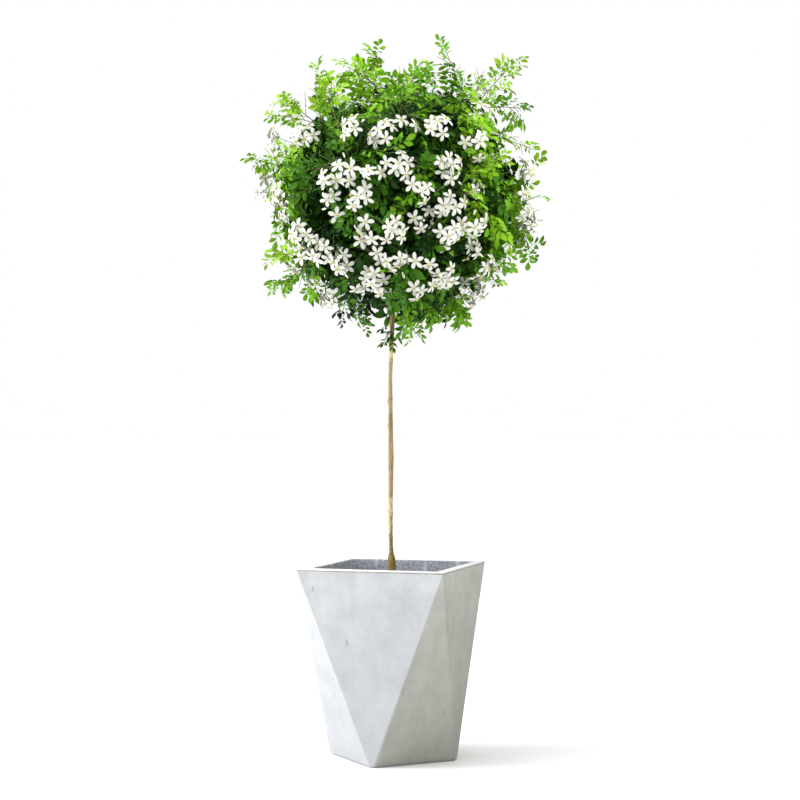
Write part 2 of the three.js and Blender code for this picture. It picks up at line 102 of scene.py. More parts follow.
# %% Helpers for finishes
def add_node(finish, kind, inputs, **settings):
    """A new node with its settings; each input is linked to an output or set to a value."""
    node = finish.node_tree.nodes.new(kind)
    for name, value in settings.items():
        setattr(node, name, value)
    for name, value in inputs.items():
        if isinstance(value, bpy.types.NodeSocket):
            finish.node_tree.links.new(value, node.inputs[name])
        else:
            node.inputs[name].default_value = value
    return node


def new_finish(name, colour, roughness):
    """A material with one plain colour and roughness on its shader."""
    finish = bpy.data.materials.new(name)
    finish.use_nodes = True
    shader = finish.node_tree.nodes["Principled BSDF"]
    shader.inputs["Base Color"].default_value = (*colour, 1.0)
    shader.inputs["Roughness"].default_value = roughness
    return finish


def object_place(finish, scale=(1.0, 1.0, 1.0), shift=(0.0, 0.0, 0.0)):
    """Object coordinates, stretched and then shifted."""
    place = add_node(finish, "ShaderNodeTexCoord", {}).outputs["Object"]
    stretch = {"Vector": place, "Scale": scale, "Location": shift}
    return add_node(finish, "ShaderNodeMapping", stretch).outputs["Vector"]


def noise_over(finish, place, scale, detail=4.0, roughness=0.55):
    """A noise pattern over the piece, from 0 to 1."""
    cloud = {"Vector": place, "Scale": scale, "Detail": detail, "Roughness": roughness}
    return add_node(finish, "ShaderNodeTexNoise", cloud).outputs["Fac"]


def ramp_of(finish, value, stops):
    """Turns a value from 0 to 1 into a colour; stops are pairs of a position and a colour or a grey."""
    ramp = add_node(finish, "ShaderNodeValToRGB", {"Fac": value})
    elements = ramp.color_ramp.elements
    while len(elements) < len(stops):
        elements.new(0.5)
    for element, (position, colour) in zip(elements, stops):
        element.position = position
        element.color = (*colour, 1.0) if len(colour) == 3 else (*colour * 3, 1.0)
    return ramp.outputs["Color"]


def mix_colours(finish, share, first, second, blend="MIX"):
    """Two colours blended by a share; the mix node keeps its colours in inputs 6 and 7 and output 2."""
    first, second = ((*colour, 1.0) if isinstance(colour, tuple) else colour for colour in (first, second))
    inputs = {0: share, 6: first, 7: second}
    return add_node(finish, "ShaderNodeMix", inputs, data_type="RGBA", blend_type=blend).outputs[2]


def math_of(finish, operation, first, second):
    """One sum on two values."""
    return add_node(finish, "ShaderNodeMath", {0: first, 1: second}, operation=operation).outputs[0]


def height_of(finish):
    """The height of every point of the piece."""
    return add_node(finish, "ShaderNodeSeparateXYZ", {"Vector": object_place(finish)}).outputs["Z"]


def fade_of(finish, value, start, end):
    """Fades from 0 where a value is at its start to 1 at its end."""
    fade = {"Value": value, "From Min": start, "From Max": end}
    return add_node(finish, "ShaderNodeMapRange", fade).outputs["Result"]


def set_input(finish, name, value):
    """Links a value to a socket of the finish's shader."""
    finish.node_tree.links.new(value, finish.node_tree.nodes["Principled BSDF"].inputs[name])


def add_relief(finish, height, distance, strength=1.0):
    """Fine relief on the surface from a grey height."""
    relief = {"Height": height, "Distance": distance, "Strength": strength}
    set_input(finish, "Normal", add_node(finish, "ShaderNodeBump", relief).outputs["Normal"])


print("finish helpers ready")

# %% [markdown]
# ## Placing a piece
# Every finished mesh becomes an object at the origin. The plant is one body, so each piece rides on
# it, hides the solids it stands for and gets what it is made of. One helper does this for all
# pieces, so that none can be forgotten.

# %% Helpers for pieces
def place_piece(name, mesh, finish, nodes):
    """Puts a finished mesh into the scene as a piece that stands for those nodes."""
    mesh.materials.append(finish)
    piece = bpy.data.objects.new(name, mesh)
    bpy.context.scene.collection.objects.link(piece)
    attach(piece, "root")
    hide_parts(*nodes)
    return piece


def only(kind, items):
    """The vertices, edges or faces among the things that an operator returns."""
    return [item for item in items if isinstance(item, kind)]


def mesh_of(name, bm, smooth):
    """Turns a bmesh into a mesh and lets it go."""
    for face in bm.faces:
        face.smooth = smooth
    mesh = bpy.data.meshes.new(name)
    bm.to_mesh(mesh)
    bm.free()
    return mesh


print("piece helpers ready")

# %% [markdown]
# ## Light
# In the photograph the planter's left facets are almost white, the front one is pale and the right
# ones are a warm mid grey. So the studio is bright and cool on the left and dimmer and warmer on the
# right, which a sky that fades from side to side gives. One soft lamp on the left adds shape, and a
# wide one overhead wakes up the top of the head. The head's right flank glows in the photograph, so a
# narrow lamp from the right gives that flank some light and misses the planter. The sky itself is
# seen as plain white from every side, like a studio's backdrop.

# %% Light the plant
SKY_SIDES = (
    (0.0, (1.0, 1.0, 1.0)),
    (0.40, (0.53, 0.535, 0.54)),
    (0.61, (0.53, 0.535, 0.54)),
    (1.0, (0.27, 0.262, 0.215)),
)
SKY_STRENGTH = 2.0
BACKDROP_WHITE = (1.0, 1.0, 1.0, 1.0)
LAMPS = {
    "left_lamp": {"at": (-2.9, -1.25, 0.8), "size": 1.5, "watts": 80.0, "spread": 180.0},
    "top_lamp": {"at": (-0.7, -0.5, 3.6), "size": 1.6, "watts": 80.0, "spread": 180.0},
    "flank_lamp": {"at": (1.85, -0.35, 1.70), "size": 0.7, "watts": 1.8, "spread": 30.0},
}
LAMP_AIM = Vector((0.0, 0.0, 1.06))

bpy.context.scene.view_settings.view_transform = "Standard"
sky = bpy.data.worlds.new("studio_sky")
sky.use_nodes = True
sky_nodes, sky_links = sky.node_tree.nodes, sky.node_tree.links
sky_way = add_node(sky, "ShaderNodeTexCoord", {}).outputs["Generated"]
to_side = add_node(sky, "ShaderNodeVectorMath", {0: sky_way, 1: camera_right}, operation="DOT_PRODUCT")
side_share = fade_of(sky, to_side.outputs["Value"], -1.0, 1.0)
sky_light = sky_nodes["Background"]
sky_light.inputs["Strength"].default_value = SKY_STRENGTH
sky_links.new(ramp_of(sky, side_share, SKY_SIDES), sky_light.inputs["Color"])
backdrop = add_node(sky, "ShaderNodeBackground", {"Color": BACKDROP_WHITE})
seen = add_node(sky, "ShaderNodeLightPath", {}).outputs["Is Camera Ray"]
sky_or_backdrop = add_node(sky, "ShaderNodeMixShader", {
    "Fac": seen, 1: sky_light.outputs["Background"], 2: backdrop.outputs["Background"],
})
sky_links.new(sky_or_backdrop.outputs["Shader"], sky_nodes["World Output"].inputs["Surface"])
bpy.context.scene.world = sky


def hang_lamp(name, lamp):
    """A square soft lamp at its place, turned to the head of the plant."""
    light = bpy.data.lights.new(name, "AREA")
    light.size = lamp["size"]
    light.energy = lamp["watts"]
    light.spread = math.radians(lamp["spread"])
    lamp_object = bpy.data.objects.new(name, light)
    lamp_object.location = lamp["at"]
    aim = LAMP_AIM - lamp_object.location
    lamp_object.rotation_euler = aim.to_track_quat("-Z", "Y").to_euler()
    bpy.context.scene.collection.objects.link(lamp_object)


for lamp_name, lamp in LAMPS.items():
    hang_lamp(lamp_name, lamp)
print("lamps:", {lamp_name: lamp["watts"] for lamp_name, lamp in LAMPS.items()}, "W")

# %% [markdown]
# ## The floor
# The photograph stands on plain white. One wide, matte, almost white sheet under the plant gives that
# and takes only a faint shadow at the planter's foot. It belongs to the stage and not to the plant.

# %% Lay the floor
FLOOR_SIDE = 60.0
FLOOR_PALE = (0.95, 0.95, 0.95)
FLOOR_ROUGHNESS = 0.9

floor_bm = bmesh.new()
bmesh.ops.create_grid(floor_bm, x_segments=1, y_segments=1, size=FLOOR_SIDE / 2)
floor_mesh = mesh_of("pale_floor", floor_bm, False)
floor_mesh.materials.append(new_finish("pale_floor", FLOOR_PALE, FLOOR_ROUGHNESS))
floor = bpy.data.objects.new("pale_floor", floor_mesh)
bpy.context.scene.collection.objects.link(floor)
floor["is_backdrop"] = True
print("floor:", FLOOR_SIDE, "m wide")

# %% [markdown]
# ## Fibre cement
# The planter is cast in a pale, slightly blue grey. Close up it shows broad soft clouds, a fine
# sandy grain, faint runs of rain, a few scratches and air pits. The clouds come from a wide noise,
# the grain from a fine one, and the pits from a cell pattern that keeps only some of its cells. The
# pits and scratches are filled with painted shade. Every side is painted darker towards the foot, as
# painted shade. The sides turned from the light get a darker, greener mix of their own, which is
# painted shade too. The rim carries a painted white highlight, and a hairline of painted shadow
# shows where it ends.

# %% Mix the fibre cement
# A noise is named by its scale, detail and roughness, a relief by its depth and strength
RIM_HEIGHT = 0.360
CLOUDS = (6.5, 6.0, 0.62)
RAIN_RUNS = (60.0, 3.0)
MOTTLING = (26.0, 6.0, 0.65)
RIM_SHADOW_SPECKS = (130.0,)
SAND = (420.0, 3.0)
SWELL = (24.0, 3.0)
CEMENT_RELIEF = (0.0003, 0.55)
CEMENT = {
    "pale": (0.440, 0.454, 0.468),
    "grey": (0.368, 0.384, 0.406),
    "foot_shade": (0.368, 0.380, 0.396),
    "run_depth": 0.03,
}
# Painted shade: the sides turned from the light get this darker, warmer mix, darkest at the foot
PAINTED_SHADE_CEMENT = {
    "pale": (0.478, 0.484, 0.452),
    "grey": (0.400, 0.406, 0.376),
    "foot_shade": (0.315, 0.323, 0.283),
    "run_depth": 0.07,
}
MOTTLING_DEPTH = 0.10
# Painted shade in the air pits and scratches
PIT_SHADE_GREY = (0.22, 0.22, 0.22)
PIT_SHADE_COVER = 0.7
PIT_DEPTH = 4.0
PIT_CELLS = 62.0
PIT_SHARE = 0.10
PIT_SIZE = 0.16
SCRATCH_STRETCH = (1.0, 1.0, 0.3)
SCRATCH_SHIFT = (0.4, 0.1, 0.0)
RUN_STRETCH = (1.0, 1.0, 0.12)
SWELL_DEPTH = 2.4
# Painted highlight: the rim top and its rounded edge are painted near white
RIM_HIGHLIGHT = (0.80, 0.81, 0.82)
# Painted shadow: a dark hairline under the rim's edge
RIM_SHADOW = (0.20, 0.17, 0.14)
RIM_SHADOW_HEIGHTS = (RIM_HEIGHT - 0.0044, RIM_HEIGHT - 0.0036)
RIM_HIGHLIGHT_HEIGHTS = (RIM_HEIGHT - 0.0026, RIM_HEIGHT - 0.0018)


def air_pits(finish, place):
    """1 in the small air pits of a cast face, 0 elsewhere."""
    cells = add_node(finish, "ShaderNodeTexVoronoi", {"Vector": place, "Scale": PIT_CELLS}).outputs
    dice = add_node(finish, "ShaderNodeSeparateColor", {"Color": cells["Color"]}).outputs
    chosen = math_of(finish, "LESS_THAN", dice["Red"], PIT_SHARE)
    size = math_of(finish, "MULTIPLY", dice["Green"], PIT_SIZE)
    inside = math_of(finish, "LESS_THAN", cells["Distance"], size)
    return math_of(finish, "MULTIPLY", chosen, inside)


def mix_cement(name, pale, grey, foot_shade, run_depth):
    """Clouded cement with air pits, painted shade in the pits and towards the foot, a painted highlight on
    the rim and a painted shadow line under it.
    """
    finish = new_finish(name, pale, 0.8)
    place = object_place(finish)
    height = height_of(finish)
    clouds = noise_over(finish, place, *CLOUDS)
    colour = ramp_of(finish, clouds, [(0.32, grey), (0.66, pale)])
    # Painted shade: the colour fades to a darker grey towards the foot
    colour = mix_colours(finish, fade_of(finish, height, RIM_HEIGHT, 0.0), colour, foot_shade)
    runs = noise_over(finish, object_place(finish, RUN_STRETCH), *RAIN_RUNS)
    mottling = noise_over(finish, place, *MOTTLING)
    for pattern, depth in ((runs, run_depth), (mottling, MOTTLING_DEPTH)):
        shade = ramp_of(finish, pattern, [(0.36, (1.0 - depth,)), (0.62, (1.0,))])
        colour = mix_colours(finish, 1.0, colour, shade, "MULTIPLY")
    scratches = air_pits(finish, object_place(finish, SCRATCH_STRETCH, SCRATCH_SHIFT))
    pits = math_of(finish, "MAXIMUM", air_pits(finish, place), scratches)
    # Painted shade: the pits and scratches are darkened
    colour = mix_colours(finish, math_of(finish, "MULTIPLY", pits, PIT_SHADE_COVER), colour, PIT_SHADE_GREY)
    # Painted shadow: a dark hairline under the rim's edge, broken into specks
    rim_shadow_share = fade_of(finish, noise_over(finish, place, *RIM_SHADOW_SPECKS), 0.25, 0.48)
    rim_shadow_share = math_of(finish, "MULTIPLY", rim_shadow_share, fade_of(finish, height, *RIM_SHADOW_HEIGHTS))
    colour = mix_colours(finish, rim_shadow_share, colour, RIM_SHADOW)
    # Painted highlight on the rim top
    colour = mix_colours(finish, fade_of(finish, height, *RIM_HIGHLIGHT_HEIGHTS), colour, RIM_HIGHLIGHT)
    set_input(finish, "Base Color", colour)
    sand = noise_over(finish, place, *SAND)
    swell = math_of(finish, "MULTIPLY", noise_over(finish, place, *SWELL), SWELL_DEPTH)
    face = math_of(finish, "ADD", sand, swell)
    holes = math_of(finish, "MULTIPLY", pits, PIT_DEPTH)
    add_relief(finish, math_of(finish, "SUBTRACT", face, holes), *CEMENT_RELIEF)
    set_input(finish, "Roughness", ramp_of(finish, sand, [(0.3, (0.72,)), (0.7, (0.9,))]))
    return finish


cement = mix_cement("fibre_cement", **CEMENT)
# The cement for the sides turned from the light, with painted shade
painted_shade_cement = mix_cement("painted_shade_cement", **PAINTED_SHADE_CEMENT)
print("fibre cement: pits in", PIT_SHARE, "of the cells, rim white from", RIM_HIGHLIGHT_HEIGHTS[0])

# %% [markdown]
# ## Raw cement
# Inside, above the soil, the cast is left as it came out of the mould: a darker, pebbled blue grey
# with a few pale runs of lime. A fine noise makes both the colour and the relief of the pebbles, and
# one stretched upright makes the runs.

# %% Mix the raw cement of the inside
RAW_PALE = (0.430, 0.450, 0.500)
RAW_DARK = (0.225, 0.240, 0.275)
LIME = (0.60, 0.62, 0.65)
PEBBLES = (190.0, 4.0, 0.65)
LIME_RUNS = (60.0, 2.0)
LIME_STRETCH = (1.0, 1.0, 0.05)
PEBBLE_RELIEF = (0.003, 0.9)

raw_cement = new_finish("raw_cement", RAW_PALE, 0.95)
pebbles = noise_over(raw_cement, object_place(raw_cement), *PEBBLES)
raw_colour = ramp_of(raw_cement, pebbles, [(0.38, RAW_DARK), (0.60, RAW_PALE)])
lime_runs = noise_over(raw_cement, object_place(raw_cement, LIME_STRETCH), *LIME_RUNS)
lime_share = ramp_of(raw_cement, lime_runs, [(0.63, (0.0,)), (0.69, (0.8,))])
set_input(raw_cement, "Base Color", mix_colours(raw_cement, lime_share, raw_colour, LIME))
add_relief(raw_cement, pebbles, *PEBBLE_RELIEF)
print("raw cement: from", RAW_DARK, "to", RAW_PALE)

# %% [markdown]
# ## The planter
# Its rim is a square and its foot a smaller square turned by an eighth of a turn, so eight flat
# triangles make the sides. The hull operator draws exactly that shape from the two squares' points.
# A second, smaller hull is the hollow; with both caps off, the two open edges are bridged into the
# flat rim. The foot's corners are rounded, so the creases are crisp at the rim and soften downwards.

# %% Cast the planter
RIM_SIDE = 0.280
FOOT_SIDE = 0.180
WALL = 0.018
FLOOR_THICKNESS = 0.022
FOOT_CORNER = 0.008
CORNER_STEPS = 3
EIGHTH_TURN = math.pi / 4
QUARTER_TURN = math.pi / 2
FLAT_ANGLE = 0.01
LEVEL_SLACK = 1e-6


def level_square(bm, side, turn, height, corner=0.0):
    """Vertices of a level square, its corners rounded if they have a radius."""
    verts = []
    steps = CORNER_STEPS if corner else 0
    middle = (side / 2 - corner) * math.sqrt(2.0)
    for quarter in range(4):
        outwards = turn + EIGHTH_TURN + quarter * QUARTER_TURN
        for step in range(steps + 1):
            around = outwards + (step / steps - 0.5) * QUARTER_TURN if steps else outwards
            verts.append(bm.verts.new((
                middle * math.cos(outwards) + corner * math.cos(around),
                middle * math.sin(outwards) + corner * math.sin(around),
                height,
            )))
    return verts


def turned_hull(bm, foot_side, foot_height, rim_side, rim_height, foot_corner=0.0):
    """The eight-sided shape between two squares set an eighth of a turn apart; returns its faces."""
    corners = level_square(bm, foot_side, EIGHTH_TURN, foot_height, foot_corner)
    corners += level_square(bm, rim_side, 0.0, rim_height)
    hull = bmesh.ops.convex_hull(bm, input=corners)
    return only(bmesh.types.BMFace, hull["geom"])


def is_level(face, height):
    """Whether a face lies flat at a height."""
    return all(abs(vert.co.z - height) < LEVEL_SLACK for vert in face.verts)


planter_bm = bmesh.new()
turned_hull(planter_bm, FOOT_SIDE, 0.0, RIM_SIDE, RIM_HEIGHT, FOOT_CORNER)
hollow = turned_hull(
    planter_bm, FOOT_SIDE - 2 * WALL, FLOOR_THICKNESS, RIM_SIDE - 2 * WALL, RIM_HEIGHT
)
bmesh.ops.recalc_face_normals(planter_bm, faces=planter_bm.faces)
hollow_walls = [
    (face.calc_center_median(), face.normal.copy())
    for face in hollow
    if not is_level(face, RIM_HEIGHT) and not is_level(face, FLOOR_THICKNESS)
]
bmesh.ops.reverse_faces(planter_bm, faces=hollow)
caps = [face for face in planter_bm.faces if is_level(face, RIM_HEIGHT)]
bmesh.ops.delete(planter_bm, geom=caps, context="FACES")
bmesh.ops.dissolve_limit(
    planter_bm, angle_limit=FLAT_ANGLE, verts=planter_bm.verts, edges=planter_bm.edges
)
rim_edges = [edge for edge in planter_bm.edges if edge.is_boundary]
bmesh.ops.bridge_loops(planter_bm, edges=rim_edges)
bmesh.ops.recalc_face_normals(planter_bm, faces=planter_bm.faces)
print("planter:", len(planter_bm.faces), "faces,", len(hollow_walls), "inner walls")

# %% [markdown]
# ## The planter's faces and edges
# The sides turned from the light get the cement with painted shade, and the inside the raw one. No
# cast edge is sharp, so a bevel rounds them. Its width goes by a weight on each edge: full at the
# foot, half at the rim, none along the creases, which stay sharp in the shading alone.

# %% Finish the planter
FOOT_ROUND = 0.006
RIM_ROUND = 0.0030
ROUND_STEPS = 4
CREASE_ANGLE = math.radians(4.0)
RIM_ANGLE = 0.5
SHADED_FROM = 0.3

planter_middle = Vector((0.0, 0.0, RIM_HEIGHT / 2))
for face in planter_bm.faces:
    inwards = face.normal.dot(face.calc_center_median() - planter_middle) < 0.0
    # Faces turned to the right of the view get the cement with painted shade
    shaded = face.normal.dot(Vector(camera_right)) > SHADED_FROM
    face.material_index = 1 if inwards else 2 if shaded else 0

rounding = planter_bm.edges.layers.float.new("bevel_weight_edge")
for edge in planter_bm.edges:
    ends = [vert.co.z for vert in edge.verts]
    if max(ends) < LEVEL_SLACK:
        edge[rounding] = 1.0
    elif min(ends) > RIM_HEIGHT - LEVEL_SLACK:
        on_rim = len(edge.link_faces) == 2 and edge.calc_face_angle() > RIM_ANGLE
        edge[rounding] = RIM_ROUND / FOOT_ROUND if on_rim else 0.0

planter_mesh = mesh_of("planter_shell", planter_bm, True)
planter_mesh.set_sharp_from_angle(angle=CREASE_ANGLE)
planter = place_piece("planter_shell", planter_mesh, cement, ["planter"])
planter.data.materials.append(raw_cement)
planter.data.materials.append(painted_shade_cement)
edge_round = planter.modifiers.new("rounded_edges", "BEVEL")
edge_round.limit_method = "WEIGHT"
edge_round.width = FOOT_ROUND
edge_round.segments = ROUND_STEPS
edge_round.harden_normals = True
print("planter: foot rounded by", FOOT_ROUND, "and rim by", RIM_ROUND)

# %% [markdown]
# ## The soil
# The soil fills the hollow to two or three fingers below the rim. It is highest round the stem and
# sinks a little towards the walls. A fine grid is moved up and down by noise and cut off along the
# planter's own inner walls with the bisect operator, so it fits the eight-sided mouth. Under it
# lies the plain body of soil, and loose crumbs are strewn over it.

# %% Mix the soil
SOIL_DARK = (0.022, 0.014, 0.009)
SOIL_BROWN = (0.085, 0.056, 0.036)
SOIL_TONES = ((0.35, SOIL_DARK), (0.7, SOIL_BROWN))
CLODS = (90.0, 6.0, 0.65)
SOIL_GRAIN = (320.0, 4.0)
SOIL_RELIEF = (0.0015, 0.8)

soil_finish = new_finish("potting_soil", SOIL_BROWN, 0.95)
soil_place = object_place(soil_finish)
clods = noise_over(soil_finish, soil_place, *CLODS)
set_input(soil_finish, "Base Color", ramp_of(soil_finish, clods, SOIL_TONES))
add_relief(soil_finish, noise_over(soil_finish, soil_place, *SOIL_GRAIN), *SOIL_RELIEF)
print("soil: from", SOIL_DARK, "to", SOIL_BROWN)

# %% Fill the planter
SOIL_CREST = 0.314
SOIL_FALL = 0.009
CREST_RADIUS = 0.026
SLOPE_RUN = 0.09
LUMP_SCALE = 70.0
LUMP_SWELL = 0.0016
SOIL_CLEAR = 0.0004
SOIL_CELLS = 90
SKIRT = 0.012
SKIRT_TAPER = (0.96, 0.96, 1.0)
BODY_SHRINK = 0.002
BODY_DEPTH = 0.004


def soil_height(x, y):
    """Crest round the stem, falling to the walls, with small lumps."""
    away = min(max((math.hypot(x, y) - CREST_RADIUS) / SLOPE_RUN, 0.0), 1.0)
    lumps = noise.fractal(Vector((x * LUMP_SCALE, y * LUMP_SCALE, 3.0)), 0.7, 2.1, 4)
    return SOIL_CREST - SOIL_FALL * away * away * (3.0 - 2.0 * away) + LUMP_SWELL * lumps


soil_bm = bmesh.new()
bmesh.ops.create_grid(soil_bm, x_segments=SOIL_CELLS, y_segments=SOIL_CELLS, size=RIM_SIDE / 2)
for vert in soil_bm.verts:
    vert.co.z = soil_height(vert.co.x, vert.co.y)
for point, normal in hollow_walls:
    bmesh.ops.bisect_plane(
        soil_bm, geom=soil_bm.verts[:] + soil_bm.edges[:] + soil_bm.faces[:],
        plane_co=point - normal * SOIL_CLEAR, plane_no=normal, clear_outer=True,
    )
shore = [edge for edge in soil_bm.edges if edge.is_boundary]
skirt = bmesh.ops.extrude_edge_only(soil_bm, edges=shore)["geom"]
skirt_verts = only(bmesh.types.BMVert, skirt)
bmesh.ops.scale(soil_bm, vec=SKIRT_TAPER, verts=skirt_verts)
bmesh.ops.translate(soil_bm, vec=(0.0, 0.0, -SKIRT), verts=skirt_verts)

body = turned_hull(
    soil_bm, FOOT_SIDE - 2 * WALL - BODY_SHRINK, FLOOR_THICKNESS + SOIL_CLEAR,
    RIM_SIDE - 2 * WALL - BODY_SHRINK, RIM_HEIGHT,
)
body_verts = dict.fromkeys(vert for face in body for vert in face.verts)
body_edges = dict.fromkeys(edge for face in body for edge in face.edges)
body_geom = [*body_verts, *body_edges, *body]
cut = bmesh.ops.bisect_plane(
    soil_bm, geom=body_geom, plane_co=(0.0, 0.0, SOIL_CREST - SOIL_FALL - BODY_DEPTH),
    plane_no=(0.0, 0.0, 1.0), clear_outer=True,
)
bmesh.ops.contextual_create(soil_bm, geom=only(bmesh.types.BMEdge, cut["geom_cut"]))
bmesh.ops.recalc_face_normals(soil_bm, faces=soil_bm.faces)
soil = place_piece("soil_bed", mesh_of("soil_bed", soil_bm, True), soil_finish, ["soil"])
print("soil:", len(soil.data.polygons), "faces")

# %% [markdown]
# ## Many small things in one mesh
# Leaflets, petals, twigs and crumbs come in thousands. Each shape is modelled once with a few
# faces, and its copies are set out with arrays: every copy is the shape's points times its own
# three axes, plus its place. One mesh then holds them all, which is far lighter than thousands of
# objects.

# %% Helpers for many small things
def shape_of(bm):
    """A small shape as points and triangles."""
    bmesh.ops.triangulate(bm, faces=bm.faces[:])
    bm.verts.index_update()
    points = np.array([vert.co[:] for vert in bm.verts])
    triangles = np.array([[vert.index for vert in face.verts] for face in bm.faces])
    bm.free()
    return points, triangles


def copies_of(shape, axes, places):
    """Copies of a shape; axes is a stack of matrices whose columns are the copy's own axes."""
    points, triangles = shape
    moved = np.einsum("nij,mj->nmi", axes, points) + places[:, None, :]
    offsets = np.arange(len(places))[:, None, None] * len(points)
    return moved.reshape(-1, 3), (triangles[None, :, :] + offsets).reshape(-1, 3)


def join_shapes(shapes):
    """Several lists of points and triangles as one."""
    points, triangles, count = [], [], 0
    for some_points, some_triangles in shapes:
        points.append(some_points)
        triangles.append(some_triangles + count)
        count += len(some_points)
    return np.concatenate(points), np.concatenate(triangles)


def mesh_from(name, shape, smooth=True):
    """A mesh from points and triangles."""
    points, triangles = shape
    mesh = bpy.data.meshes.new(name)
    mesh.vertices.add(len(points))
    mesh.vertices.foreach_set("co", points.astype(np.float32).ravel())
    mesh.loops.add(triangles.size)
    mesh.loops.foreach_set("vertex_index", triangles.astype(np.int32).ravel())
    mesh.polygons.add(len(triangles))
    mesh.polygons.foreach_set("loop_start", np.arange(0, triangles.size, 3, dtype=np.int32))
    mesh.polygons.foreach_set("use_smooth", np.full(len(triangles), smooth))
    mesh.update(calc_edges=True)
    return mesh


def unit(vectors):
    """Vectors of length one."""
    return vectors / np.linalg.norm(vectors, axis=-1, keepdims=True)


def random_turns(rng, count):
    """A stack of random turns."""
    first = unit(rng.normal(size=(count, 3)))
    second = unit(np.cross(first, rng.normal(size=(count, 3))))
    return np.stack([first, second, np.cross(first, second)], axis=-1)


print("array helpers ready")

# %% Strew crumbs over the soil
CRUMBS = 420
CRUMB_SIZE = (0.0012, 0.0036)
CRUMB_FLATNESS = (0.6, 1.2)
CRUMB_FIELD = 0.115
CRUMB_CLEAR = 0.004
CRUMBS_FROM = CREST_RADIUS * 0.7
crumb_rng = np.random.default_rng(5)
crumb_bm = bmesh.new()
bmesh.ops.create_icosphere(crumb_bm, subdivisions=1, radius=1.0)
crumb_shape = shape_of(crumb_bm)
crumb_spots = []
while len(crumb_spots) < CRUMBS:
    x, y = crumb_rng.uniform(-CRUMB_FIELD, CRUMB_FIELD, 2)
    spot = Vector((x, y, soil_height(x, y)))
    inside = all((spot - point).dot(normal) < -CRUMB_CLEAR for point, normal in hollow_walls)
    if inside and math.hypot(x, y) > CRUMBS_FROM:
        crumb_spots.append(spot[:])
crumb_sizes = crumb_rng.uniform(*CRUMB_SIZE, (CRUMBS, 1, 1))
crumb_sizes = crumb_sizes * crumb_rng.uniform(*CRUMB_FLATNESS, (CRUMBS, 1, 3))
crumb_axes = random_turns(crumb_rng, CRUMBS) * crumb_sizes
crumb_mesh = mesh_from("soil_crumbs", copies_of(crumb_shape, crumb_axes, np.array(crumb_spots)), False)
place_piece("soil_crumbs", crumb_mesh, soil_finish, ["soil"])
print("crumbs:", len(crumb_mesh.polygons), "faces on", CRUMBS, "crumbs")

# %% [markdown]
# ## The plan of the head
# Sixteen boughs leave the trunk in three rings, and each one ends where a mass of leaves begins; a
# seventeenth mass crowns the trunk's tip. Every mass has its own bearing, its own reach from the
# middle of the head, and the space that lies nearer to its heart than to any other. The numbers are
# those of the solids, in metres and degrees.

# %% Lay out the head
HEAD_BEARING = 18.1
HEAD_OFFSET = 0.013
HEAD_HEIGHT = 1.061
HEAD_RADIUS = 0.290
HEART_SHARE = 0.62
EDGE_ANGLE = math.radians(34.0)
EDGE_LIMIT = 1.6
PEAK_ANGLE = math.radians(13.0)
GOLDEN_ANGLE = math.radians(137.508)
RINGS = (
    {"name": "low", "first": 198.0, "elevation": -50.0, "tilt": -13.0, "height": 0.838, "pitch": 0.011,
     "rise": 64.0, "entry": 0.132, "fan": 40.0, "edge_drop": 0.03,
     "reach": (1.08, 1.06, 1.05, 1.04, 1.06), "peak": (0.10, 0.02, 0.0, 0.0, 0.03)},
    {"name": "mid", "first": 0.0, "elevation": 0.0, "tilt": -12.0, "height": 0.904, "pitch": 0.012,
     "rise": 66.0, "entry": 0.108, "fan": 38.0, "edge_drop": 0.05,
     "reach": (1.07, 1.04, 1.05, 1.07, 1.04, 1.04), "peak": (0.04, 0.0, 0.0, 0.05, 0.0, 0.0)},
    {"name": "high", "first": 198.0, "elevation": 41.0, "tilt": 5.0, "height": 0.986, "pitch": 0.014,
     "rise": 76.0, "entry": 0.098, "fan": 37.0, "edge_drop": 0.05,
     "reach": (1.06, 1.03, 1.10, 1.04, 1.05), "peak": (0.04, 0.0, 0.16, 0.0, 0.02)},
)
TOP_MASS = {
    "bearing": 190.0, "elevation": 80.0, "reach": 1.01, "peak": 0.03, "fan": 37.0, "edge_drop": 0.05,
}
UP = np.array([0.0, 0.0, 1.0])


def towards(bearing, elevation):
    """The way that a bearing and an elevation point."""
    turn, lift = math.radians(HEAD_BEARING + bearing), math.radians(elevation)
    return np.array([math.cos(turn) * math.cos(lift), math.sin(turn) * math.cos(lift), math.sin(lift)])


head_centre = towards(0.0, 0.0) * HEAD_OFFSET + UP * HEAD_HEIGHT
masses = []


def add_mass(plan, axis, reach, peak, **bough):
    """Keeps one mass of leaves, and what its bough needs if it has one."""
    masses.append({
        "axis": axis, "reach": reach * HEAD_RADIUS, "peak": peak * HEAD_RADIUS,
        "edge_drop": plan["edge_drop"], "fan": math.radians(plan["fan"]), **bough,
    })


for ring in RINGS:
    count = len(ring["reach"])
    for index, (reach, peak) in enumerate(zip(ring["reach"], ring["peak"])):
        bearing = ring["first"] + 360.0 / count * index
        elevation = ring["elevation"] + ring["tilt"] * math.cos(math.radians(bearing))
        fork = ring["height"] + ring["pitch"] * ((2 * index) % count)
        axis = towards(bearing, elevation)
        add_mass(ring, axis, reach, peak, ring=ring, bearing=bearing, fork=fork)
top_axis = towards(TOP_MASS["bearing"], TOP_MASS["elevation"])
add_mass(TOP_MASS, top_axis, TOP_MASS["reach"], TOP_MASS["peak"], ring=None)
hearts = np.array([head_centre + mass["axis"] * HEAD_RADIUS * HEART_SHARE for mass in masses])


